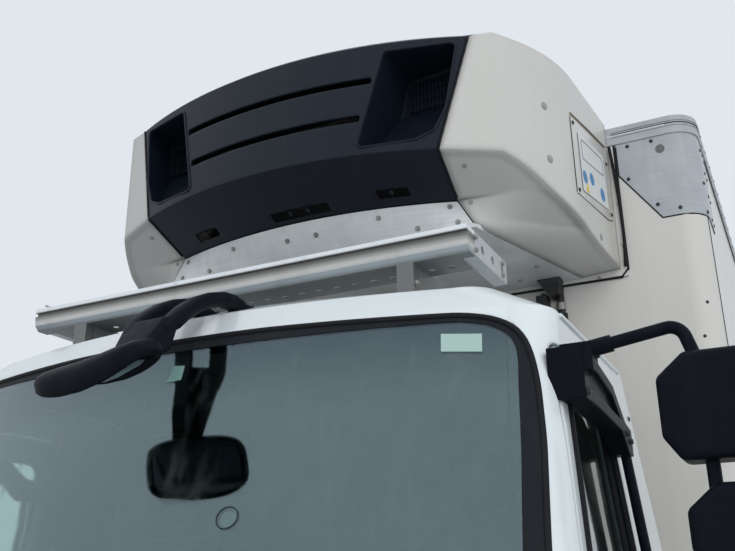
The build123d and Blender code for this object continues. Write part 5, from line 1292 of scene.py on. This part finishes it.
# Seats: sprung frames under foam, upholstered in ribbed grey cloth with sewn channels and a piped edge.
# They stand for the plain solids of the frame.
seat_fabric = bpy.data.materials.new("seat_fabric")
seat_fabric.use_nodes = True
tree = seat_fabric.node_tree
shader = tree.nodes["Principled BSDF"]
place = tree.nodes.new("ShaderNodeTexCoord").outputs["Object"]
weave = []
for scale in ((900.0, 160.0, 160.0), (160.0, 900.0, 900.0)):
    wave = tree.nodes.new("ShaderNodeTexWave")
    wave.inputs["Scale"].default_value = 1.0
    wave.inputs["Distortion"].default_value = 0.6
    tree.links.new(stretched(tree, place, scale), wave.inputs["Vector"])
    weave.append(wave.outputs["Fac"])
threads = sums(tree, "MULTIPLY", weave[0], weave[1])
patchy = noise(tree, place, 14.0, 4.0)
cloth_tone = blended(tree, spread(tree, patchy, 0.35, 0.65), (0.070, 0.076, 0.086), (0.050, 0.054, 0.062))
tree.links.new(blended(tree, sums(tree, "MULTIPLY", threads, 0.55), cloth_tone, (0.13, 0.135, 0.145)),
               shader.inputs["Base Color"])
tree.links.new(spread(tree, threads, 0.0, 1.0, 0.95, 0.80), shader.inputs["Roughness"])
cloth_bump = tree.nodes.new("ShaderNodeBump")
cloth_bump.inputs["Distance"].default_value = 0.0012
cloth_bump.inputs["Strength"].default_value = 0.7
tree.links.new(threads, cloth_bump.inputs["Height"])
tree.links.new(cloth_bump.outputs["Normal"], shader.inputs["Normal"])
shader.inputs["Sheen Weight"].default_value = 0.4


def cushion(bm, centre, size, lean, crown, channels):
    """A foam pad with crowned faces, sides that pull in between the corners, and sewn channels."""
    bmesh.ops.create_cube(bm, size=2.0)
    bmesh.ops.subdivide_edges(bm, edges=bm.edges[:], cuts=23, use_grid_fill=True)
    verts = bm.verts[:]
    sx, sy, sz = (s / 2 for s in size)
    for v in verts:
        u, w, t = v.co
        round_u, round_w = 1 - abs(u) ** 4, 1 - abs(w) ** 4
        edge = 1 - 0.06 * (abs(t) ** 4) - 0.035 * (1 - t * t) * (1 - abs(u * w))
        swell = math.copysign(crown / sz, t) * abs(t) ** 3
        height = t * (0.80 + 0.20 * round_u * round_w) + swell * round_u * round_w
        if t > 0.9:
            for line in channels:
                height -= 0.011 / sz * math.exp(-((u - line) / 0.035) ** 2) * round_w
            height -= 0.008 / sz * math.exp(-((w + 0.35) / 0.05) ** 2) * round_u
        corner = 1 - 0.05 * (abs(u) * abs(w)) ** 6
        v.co = Vector((u * sx * edge * corner, w * sy * edge * corner, height * sz))
    bmesh.ops.transform(bm, matrix=Matrix.Translation(centre) @ Matrix.Rotation(lean, 4, "X"), verts=verts)


BACK_LEAN, HEAD_REST_LEAN = math.radians(85.4), math.radians(85.0)
frames = bmesh.new()
for side, name in SIDES:
    x = side * SEAT_X
    for label, centre, size, lean, crown, channels in (
            ("seat_cushion_", (x, -2.848, 1.262), (0.465, 0.480, 0.100), 0.0, 0.014, (-0.52, 0.52)),
            ("seat_back_", (x, -2.628, 1.610), (0.455, 0.600, 0.085), BACK_LEAN, 0.010, (-0.52, 0.52)),
            ("head_rest_", (x, -2.572, 2.030), (0.245, 0.165, 0.062), HEAD_REST_LEAN, 0.006, ())):
        foam = bmesh.new()
        cushion(foam, centre, size, lean, crown, channels)
        piece = put(label + name, foam, seat_fabric, "cab", 60.0)
        smooth = piece.modifiers.new("smooth", "SUBSURF")
        smooth.levels = 1
        smooth.render_levels = 1
        if label == "seat_cushion_" and side == 1:
            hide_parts("seats")
    block(frames, x, 0.190, (-3.010, -2.672), (1.003, 1.120), 0.012)
    block(frames, x, 0.225, (-3.070, -2.610), (1.120, 1.212), 0.020)
    shell_lean = Matrix.Rotation(BACK_LEAN - math.pi / 2, 4, "X")
    block(frames, x, 0.205, (-2.590, -2.566), (1.230, 1.850), 0.010, shell_lean)
    for dx in (-0.060, 0.060):
        rod(frames, (x + dx, -2.585, 1.880), (x + dx, -2.575, 1.985), 0.007)
    rod(frames, (x + side * 0.245, -2.680, 1.200), (x + side * 0.262, -2.680, 1.200), 0.030, sides=20)
put("seat_frames", frames, trim_plastic, "cab")

# Load box: foam sandwich panels with white gelcoat skins, riveted into aluminium edge rails, with drawn
# corner caps over the front top corners and mastic along each joint.
panel_white = finish("panel_white", (0.60, 0.595, 0.565), 0.32, film=0.45, streaks=0.10, low=0.8, high=1.9,
                     coat=0.20, mottle=0.16, grain=0.00005, size=170.0, waves=0.0009)
floor_panel = finish("floor_panel", (0.34, 0.345, 0.34), 0.6, film=0.4, grain=0.0007, size=240.0, high=1.3)
box_aluminium = metal("box_aluminium", (0.52, 0.545, 0.565), 0.60, 0.0003, film=0.3, streaks=0.30, high=1.5)
dress(panel_white, "box_side_walls", "box_front_wall", "box_roof", "rear_door_left", "rear_door_right")
dress(floor_panel, "box_floor")
dress(box_aluminium, "box_rails")
for side, name in SIDES:
    for label, z, radius, paint in (("ridge", 3.429, 0.0030, box_aluminium),
                                    ("groove", 3.4185, 0.0020, seal_rubber),
                                    ("lip", 3.408, 0.0026, box_aluminium)):
        run = [from_front("box_rails", side * x, z) for x in (0.985, 1.02, 1.06, 1.10)]
        for k in range(15):
            angle = math.radians(90 * k / 14)
            ray = Vector((-side * math.sin(angle), math.cos(angle), 0))
            run.append(onto("box_rails", Vector((side * 1.145, -1.830, z)) - ray * 0.8, ray))
        tube("rail_" + label + "_" + name, lifted(run, 0.0006), radius, paint, "chassis")
RAIL_GROOVES = (3.4135, 1.015)      # heights along the top and bottom rails
BOX_HALF_WIDTH = 1.300
cap_rivets = bmesh.new()
for side in (-1, 1):
    for x, z in ((1.042, 3.357), (1.133, 3.358), (1.032, 3.217), (1.127, 3.089), (1.205, 3.060)):
        rivet(cap_rivets, (side * x, -1.9835, z), (0, -1, 0), 0.0075)
    for y, z in ((-1.8821, 3.3235), (-1.9044, 3.1734), (-1.9120, 3.0500)):
        rivet(cap_rivets, *from_side("box_rails", side, y, z), 0.0075)
    for y in (-1.735, -1.800):
        for z in (3.06, 3.16, 3.26, 3.34):
            rivet(cap_rivets, *from_side("box_rails", side, y, z), 0.0065)
    for x, z in ((1.247, 2.685), (1.223, 2.559)):
        rivet(cap_rivets, *from_front("box_front_wall", side * x, z), 0.006)
put("cap_rivets", cap_rivets, cast_black, "chassis")
rail_rivets = bmesh.new()
rivet_shape = bmesh.new()
rivet(rivet_shape, (0, 0, 0), (1, 0, 0), 0.006)
rivet_mesh = bpy.data.meshes.new("rail_rivet")
rivet_shape.to_mesh(rivet_mesh)
rivet_shape.free()
for side in (-1, 1):
    facing_out = Matrix.Rotation(0.0 if side > 0 else math.pi, 4, "Z")
    for z in (3.390, 3.435, 0.970, 1.060):
        for i in range(36):
            stamp(rail_rivets, rivet_mesh,
                  Matrix.Translation((side * (BOX_HALF_WIDTH + 0.0002), -1.78 + i * 0.152, z)) @ facing_out)
put("rail_rivets", rail_rivets, bright_steel, "chassis")
cap_discs = bmesh.new()
for side in (-1, 1):
    rod(cap_discs, (side * 1.162, -1.9832, 3.318), (side * 1.162, -1.9870, 3.318), 0.017, sides=32)
    rod(cap_discs, (side * 1.162, -1.9868, 3.318), (side * 1.162, -1.9882, 3.318), 0.012, 0.010, sides=32)
put("cap_plugs", cap_discs, engine_grey, "chassis")
for side, name in SIDES:
    hit = from_side("box_front_wall", side, -1.909, 2.0)[0]
    tube("corner_seam_" + name, [(hit.x, hit.y, z) for z in (1.078, 1.7, 2.4, 3.034)], 0.0022, seal_rubber,
         "chassis")
    edge = []
    for x, z in ((1.000, 3.366), (1.000, 3.240), (1.140, 3.035), (1.200, 3.035), (1.246, 3.035),
                 (1.276, 3.035)):
        hit = from_front("box_front_wall", side * (x - 0.002), z - 0.002)[0]
        edge.append((hit.x, hit.y - 0.0008, hit.z))
    hit = from_side("box_front_wall", side, -1.905, 3.033)[0]
    edge.append((hit.x + side * 0.0008, hit.y, hit.z))
    edge += [(side * 1.2930, -1.80, 3.033), (side * 1.2930, -1.7185, 3.033), (side * 1.2930, -1.7185, 3.374)]
    tube("cap_mastic_" + name, edge, 0.0026, seal_rubber, "chassis")
    for z, label in ((3.372, "top"), (1.077, "low")):
        tube("rail_mastic_%s_%s" % (label, name),
             [(side * 1.2932, -1.86, z), (side * 1.2932, 0.5, z), (side * 1.2932, 3.62, z)],
             0.0022, seal_rubber, "chassis")
    for z in RAIL_GROOVES:
        groove = bmesh.new()
        x = side * (BOX_HALF_WIDTH + 0.0003)
        bar(groove, (x - 0.0012, -1.870, z - 0.004), (x + 0.0010, 3.620, z + 0.004), 0.0008)
        put("rail_groove_%s_%d" % (name, int(z * 10)), groove, roof_aluminium, "chassis")
front_groove = bmesh.new()
for z in RAIL_GROOVES:
    bar(front_groove, (-1.190, -1.9895, z - 0.004), (1.190, -1.9880, z + 0.004), 0.0006)
put("front_rail_groove", front_groove, roof_aluminium, "chassis")

# Rear end: a steel door frame with rubber-sealed doors on strap hinges, lock rods with cams and handles,
# lamp clusters, reflectors and a blank plate on the under-run bar.
frame_steel = finish("frame_steel", (0.40, 0.41, 0.42), 0.38, metallic=0.75, film=0.5, high=1.5, streaks=0.3)
dress(frame_steel, "rear_frame")
LOAD_DOOR = ((0.016, 1.010), (1.272, 1.010), (1.272, 3.430), (0.016, 3.430))
for side, name in SIDES:
    body = "load_door_" + name
    gasket_run = [(side * x, 3.7965, z) for x, z in rounded(LOAD_DOOR, 0.020)]
    tube("door_gasket_" + name, gasket_run, 0.0075, seal_rubber, body, closed=True)
    gear = bmesh.new()
    fixings = bmesh.new()
    for x in (0.330, 0.930):
        for z in (1.060, 1.700, 2.500, 3.380):
            block(gear, side * x, 0.032, (3.792, 3.801), (z - 0.024, z + 0.024), 0.003)
            for dx in (-0.024, 0.024):
                bolt(fixings, (side * x + dx, 3.8005, z), (0, 1, 0), 0.009)
        block(gear, side * x, 0.017, (3.783, 3.812), (1.398, 1.438), 0.004)
        block(gear, side * (x + 0.100), 0.095, (3.800, 3.810), (1.408, 1.428), 0.004)
        block(gear, side * (x + 0.185), 0.020, (3.796, 3.816), (1.392, 1.446), 0.004)
        for z in (1.012, 3.430):
            block(gear, side * x, 0.022, (3.776, 3.806), (z - 0.014, z + 0.014), 0.005)
    for z in (1.250, 1.900, 2.550, 3.200):
        for s in (-1, 1):
            for x in (1.196, 1.226, 1.256):
                bolt(fixings, (side * x, 3.8085, z + s * 0.036), (0, 1, 0), 0.010)
    put("lock_gear_" + name, gear, bright_steel, body)
    put("door_fixings_" + name, fixings, bright_steel, body)
    strip = bmesh.new()
    block(strip, side * 0.640, 0.230, (3.7955, 3.7975), (1.150, 1.200), 0.0006)
    put("rear_reflector_" + name, strip, red_lens, body)
lamp_boxes = bmesh.new()
lens_red, lens_amber, lens_clear = bmesh.new(), bmesh.new(), bmesh.new()
for side in (-1, 1):
    block(lamp_boxes, side * 0.900, 0.223, (3.777, 3.842), (0.637, 0.763), 0.006)
    block(lamp_boxes, side * 0.668, 0.034, (3.788, 3.822), (0.647, 0.693), 0.004)
    for bm, x, width in ((lens_red, 0.770, 0.160), (lens_clear, 0.892, 0.070), (lens_red, 0.970, 0.070),
                         (lens_amber, 1.060, 0.096)):
        block(bm, side * x, width / 2, (3.838, 3.852), (0.646, 0.754), 0.005)
        for k in range(int(width / 0.012)):
            rib_x = side * x - width / 2 + 0.006 + k * 0.012
            block(bm, rib_x, 0.0022, (3.851, 3.8535), (0.652, 0.748), 0.001)
    block(lens_red, side * 1.235, 0.040, (3.708, 3.720), (3.425, 3.445), 0.003)
put("tail_lamp_boxes", lamp_boxes, black_plastic, "chassis")
put("tail_lenses_red", lens_red, red_lens, "chassis")
put("tail_lenses_amber", lens_amber, amber, "chassis")
put("tail_lenses_clear", lens_clear, clear_lens, "chassis")
rear_plate = bmesh.new()
bar(rear_plate, (-0.262, 3.8500, 0.432), (0.262, 3.8525, 0.544), 0.001)
put("blank_rear_plate", rear_plate, plate_white, "chassis")
bumpers = bmesh.new()
for side in (-1, 1):
    block(bumpers, side * 0.560, 0.058, (3.862, 3.878), (0.885, 0.995), 0.006)
    bar(bumpers, (side * 1.128 - 0.032, 3.768, 0.428), (side * 1.128 + 0.034, 3.852, 0.547), 0.006)
    for x in (0.345, 0.560):
        for z in (0.655, 0.685):
            bolt(bumpers, (side * x, 3.8505, z), (0, 1, 0), 0.014)
put("dock_rubbers", bumpers, flap_rubber, "chassis")

# Cooling unit: a satin black moulded front and white moulded side shells on a steel pan, screwed to a
# frame that is bedded in black mastic on the front wall of the box.
unit_black = finish("unit_black", (0.006, 0.010, 0.018), 0.42, film=0.0, streaks=0.05, mottle=0.25,
                    grain=0.00008, size=380.0, waves=0.0004, dirt=(0.10, 0.10, 0.10), gloss=0.26, soft=0.010)
unit_white = finish("unit_white", (0.54, 0.54, 0.515), 0.36, film=0.0, streaks=0.10, mottle=0.18,
                    grain=0.00004, size=260.0, coat=0.20, waves=0.0008, dirt=(0.34, 0.31, 0.26), soft=0.040)
lid_white = finish("lid_white", (0.54, 0.54, 0.515), 0.34, film=0.0, streaks=0.10, mottle=0.18,
                   grain=0.00004, size=260.0, coat=0.20, dirt=(0.34, 0.31, 0.26))
pan_grey = metal("pan_grey", (0.80, 0.84, 0.84), 0.20, 0.00008, film=0.0, streaks=0.22)
dress(unit_black, "unit_front_cover")
dress(unit_white, "unit_side_shells")
dress(pan_grey, "unit_base_pan")
unit_core = finish("unit_core", (0.12, 0.12, 0.125), 0.5, film=0.0, streaks=0.15, grain=0.0006, size=200.0)
tree = unit_core.node_tree
axes = object_axes(tree)
on_frame = sums(tree, "GREATER_THAN", axes["Y"], -1.9915)
below = sums(tree, "LESS_THAN", axes["Z"], 2.8235)
with_frame = blended(tree, on_frame, (0.035, 0.036, 0.038), (0.58, 0.58, 0.55))
core_tone = blended(tree, below, with_frame, (0.018, 0.018, 0.019))
tree.links.new(core_tone, film_of(unit_core).inputs["Colour"])
dress(unit_core, "unit_core")

INTAKE = ((0.420, 3.434), (0.650, 3.446), (0.612, 3.200), (0.575, 3.115), (0.520, 3.085), (0.335, 3.073))
INTAKE_X, INTAKE_Z = 0.524, 3.250       # the rim is the intake's outline, grown a little about this point
RIM = [(INTAKE_X + (x - INTAKE_X) * 1.028, INTAKE_Z + (z - INTAKE_Z) * 1.022) for x, z in INTAKE]
fins = bmesh.new()
for side, name in SIDES:
    rim_run = [from_front("unit_front_cover", side * x, z) for x, z in rounded(RIM, 0.018)]
    tube("intake_rim_" + name, lifted(rim_run, 0.0005), 0.0042, unit_black, "chassis",
         closed=True)
    for i in range(15):
        x = 0.432 + i * 0.0142
        block(fins, side * x, 0.0016, (-2.7010, -2.6895), (3.298, 3.424))
    for z in (3.305, 3.345, 3.385, 3.420):
        block(fins, side * 0.530, 0.102, (-2.7035, -2.6985), (z - 0.002, z + 0.002))
put("intake_fins", fins, unit_black, "chassis")

plugs = bmesh.new()
for side in (-1, 1):
    for y, z in ((-2.6037, 3.2545), (-2.5980, 3.0558), (-2.215, 2.905)):
        hit, facing = from_side("unit_side_shells", side, y, z)
        rod(plugs, hit - facing * 0.002, hit + facing * 0.0025, 0.0150, 0.0135, sides=28)
        rod(plugs, hit + facing * 0.0022, hit + facing * 0.0040, 0.0085, 0.0075, sides=20)
    for x, z in ((0.611, 2.940), (0.640, 3.010)):
        hit, facing = from_front("unit_side_shells", side * x, z)
        rod(plugs, hit - facing * 0.002, hit + facing * 0.0020, 0.0095, 0.0085, sides=20)
plug_grey = finish("plug_grey", (0.30, 0.31, 0.29), 0.5, film=0.0, grain=0.0004, size=300.0)
put("shell_plugs", plugs, plug_grey, "chassis")
pan_bolts = bmesh.new()
for side in (-1, 1):
    for x, z in ((0.059, 2.9025), (0.544, 2.929), (0.569, 2.870), (0.300, 2.9200), (0.430, 2.868)):
        bolt(pan_bolts, *from_front("unit_base_pan", side * x, z), 0.013, 0.45)
    for x, y in ((0.560, -2.30), (0.600, -2.08), (0.300, -2.58), (0.200, -2.08), (0.700, -2.20)):
        hit, facing = onto("unit_base_pan", (side * x, y, 2.0), (0, 0, 1))
        if hit:
            bolt(pan_bolts, hit, facing, 0.013, 0.45)
put("pan_bolts", pan_bolts, bright_steel, "chassis")
# The screws deep in the cover's pockets take the cover's black, which is painted shade inside the pockets.
cover_screws = bmesh.new()
for x, z in ((0.380, 2.975), (-0.380, 2.975), (0.0, 2.967), (0.07, 2.967)):
    skin_y = from_front("unit_front_cover", x, z + 0.030)[0].y
    inner_at = Vector((x, skin_y + 0.075, z))
    rod(cover_screws, inner_at, inner_at + Vector((0, -0.016, 0)), 0.0065, sides=12)
put("cover_screws", cover_screws, unit_black, "chassis")

LID_OUTLINE = ((-2.440, 3.288), (-2.030, 3.338), (-2.030, 3.036), (-2.090, 3.018), (-2.440, 2.990))
for side, name in SIDES:
    lid = bmesh.new()
    hits = [from_side("unit_side_shells", side, y, z) for y, z in LID_OUTLINE]
    top_edges = thickened(lid, lifted(hits, -0.001), hits[-1][1] * 0.0045)
    bmesh.ops.bevel(lid, geom=top_edges, offset=0.0015, segments=2, profile=0.5, affect="EDGES", material=-1)
    put("service_lid_" + name, lid, lid_white, "chassis")
    joint = [from_side("unit_side_shells", side, y, z) for y, z in rounded(LID_OUTLINE, 0.006, 2)]
    tube("lid_joint_" + name, lifted(joint, 0.0006), 0.0020, seal_rubber, "chassis",
         closed=True)
    lid_screws = bmesh.new()
    for y, z in ((-2.425, 3.268), (-2.425, 3.006), (-2.045, 3.270), (-2.048, 3.054)):
        hit, facing = from_side("unit_side_shells", side, y, z)
        rivet(lid_screws, hit + facing * 0.004, facing, 0.0075)
    put("lid_screws_" + name, lid_screws, cast_black, "chassis")

slot_tan = finish("slot_tan", (0.24, 0.20, 0.155), 0.6, **CLEAN)
notice_paper = finish("notice_paper", (0.66, 0.68, 0.68), 0.4, film=0.0, streaks=0.05, mottle=0.1)
notice_blue = finish("notice_blue", (0.05, 0.22, 0.46), 0.4, **CLEAN)
notice_yellow = finish("notice_yellow", (0.70, 0.56, 0.06), 0.4, **CLEAN)
notice_grey = finish("notice_grey", (0.20, 0.22, 0.24), 0.5, **CLEAN)
SIDE_FACE = Vector((0.9947, -0.0905, 0.0))


def lid_point(side, y, z, lift):
    """A point on the flat side of the shell, lifted off it."""
    hit = from_side("unit_side_shells", side, y, z)[0]
    return hit + Vector((side * SIDE_FACE.x, SIDE_FACE.y, 0)) * lift


for side, name in SIDES:
    groove = [lid_point(side, y, z, 0.0015) for y, z in ((-2.438, 3.300), (-2.240, 3.326), (-2.036, 3.350))]
    tube("lid_slot_" + name, groove, 0.0045, slot_tan, "chassis")
NOTICE = ((-2.385, 3.252), (-2.085, 3.285), (-2.085, 3.060), (-2.385, 3.020))
NOTICE_FRAME = ((-2.360, 3.232), (-2.110, 3.262), (-2.110, 3.190), (-2.360, 3.155))
notice = bmesh.new()
thickened(notice, [lid_point(1, y, z, 0.0050) for y, z in NOTICE], SIDE_FACE * 0.0006)
put("bare_notice", notice, notice_paper, "chassis")
frame_line = [lid_point(1, y, z, 0.0058) for y, z in rounded(NOTICE_FRAME, 0.012)]
tube("notice_frame", frame_line, 0.0016, notice_grey, "chassis", closed=True)
blue_marks = bmesh.new()
for y, z, r in ((-2.352, 3.085, 0.024), (-2.270, 3.110, 0.024), (-2.150, 3.095, 0.026)):
    rod(blue_marks, lid_point(1, y, z, 0.0054), lid_point(1, y, z, 0.0064), r, sides=28)
put("notice_blue_marks", blue_marks, notice_blue, "chassis")
warning = bmesh.new()
rod(warning, lid_point(1, -2.335, 3.045, 0.0054), lid_point(1, -2.335, 3.045, 0.0064), 0.024, sides=3)
put("notice_triangle", warning, notice_yellow, "chassis")
SEAM_LOW, SEAM_TOP, SEAM_STEPS = 2.957, 3.470, 24
for side, name in SIDES:
    seam = []
    for k in range(SEAM_STEPS + 1):
        z = SEAM_LOW + (SEAM_TOP - SEAM_LOW) * k / SEAM_STEPS
        for x in [0.500 + 0.0015 * j for j in range(170)]:
            at, out = from_front("unit_side_shells", side * x, z)
            cover_at = from_front("unit_front_cover", side * x, z)[0]
            if at and (cover_at is None or at.y < cover_at.y):
                seam.append(at + out * 0.0004)
                break
    tube("cover_gasket_" + name, seam, 0.0036, seal_rubber, "chassis")

BEAD = ((0.9905, 3.371), (0.9905, 2.852), (0.966, 2.8245), (-0.966, 2.8245), (-0.9905, 2.852),
        (-0.9905, 3.371))
bead = [(x, -1.9850, z) for x, z in BEAD]
tube("frame_mastic", bead, 0.0052, seal_rubber, "chassis")
for side, name in SIDES:
    conduit = [(side * 0.975, -2.004, 3.360), (side * 0.984, -2.000, 3.250), (side * 0.990, -1.998, 3.100),
               (side * 0.992, -1.997, 2.960), (side * 0.984, -1.998, 2.860)]
    tube("unit_conduit_" + name, conduit, 0.0060, seal_rubber, "chassis", kind="NURBS")
lip_bolts = bmesh.new()
for side in (-1, 1):
    for z in (2.95, 3.12, 3.29):
        bolt(lip_bolts, (side * 0.981, -1.9880, z), (0, -1, 0), 0.010, 0.5)
for i in range(9):
    x = -0.88 + i * 0.22
    bolt(lip_bolts, (x, -1.9880, 2.8335), (0, -1, 0), 0.010, 0.5)
put("unit_frame_bolts", lip_bolts, bright_steel, "chassis")
pipe_joints = bmesh.new()
for x, y, r in ((0.728, -1.9943, 0.014), (0.662, -1.9893, 0.009)):
    for z in (1.160, 1.710, 2.260, 2.740):
        rod(pipe_joints, (x, y, z - 0.014), (x, y, z + 0.014), r + 0.0035, sides=16)
        bolt(pipe_joints, (x - r - 0.010, -1.9803, z), (0, -1, 0), 0.008)
put("pipe_joints", pipe_joints, bright_steel, "chassis")

low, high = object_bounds()
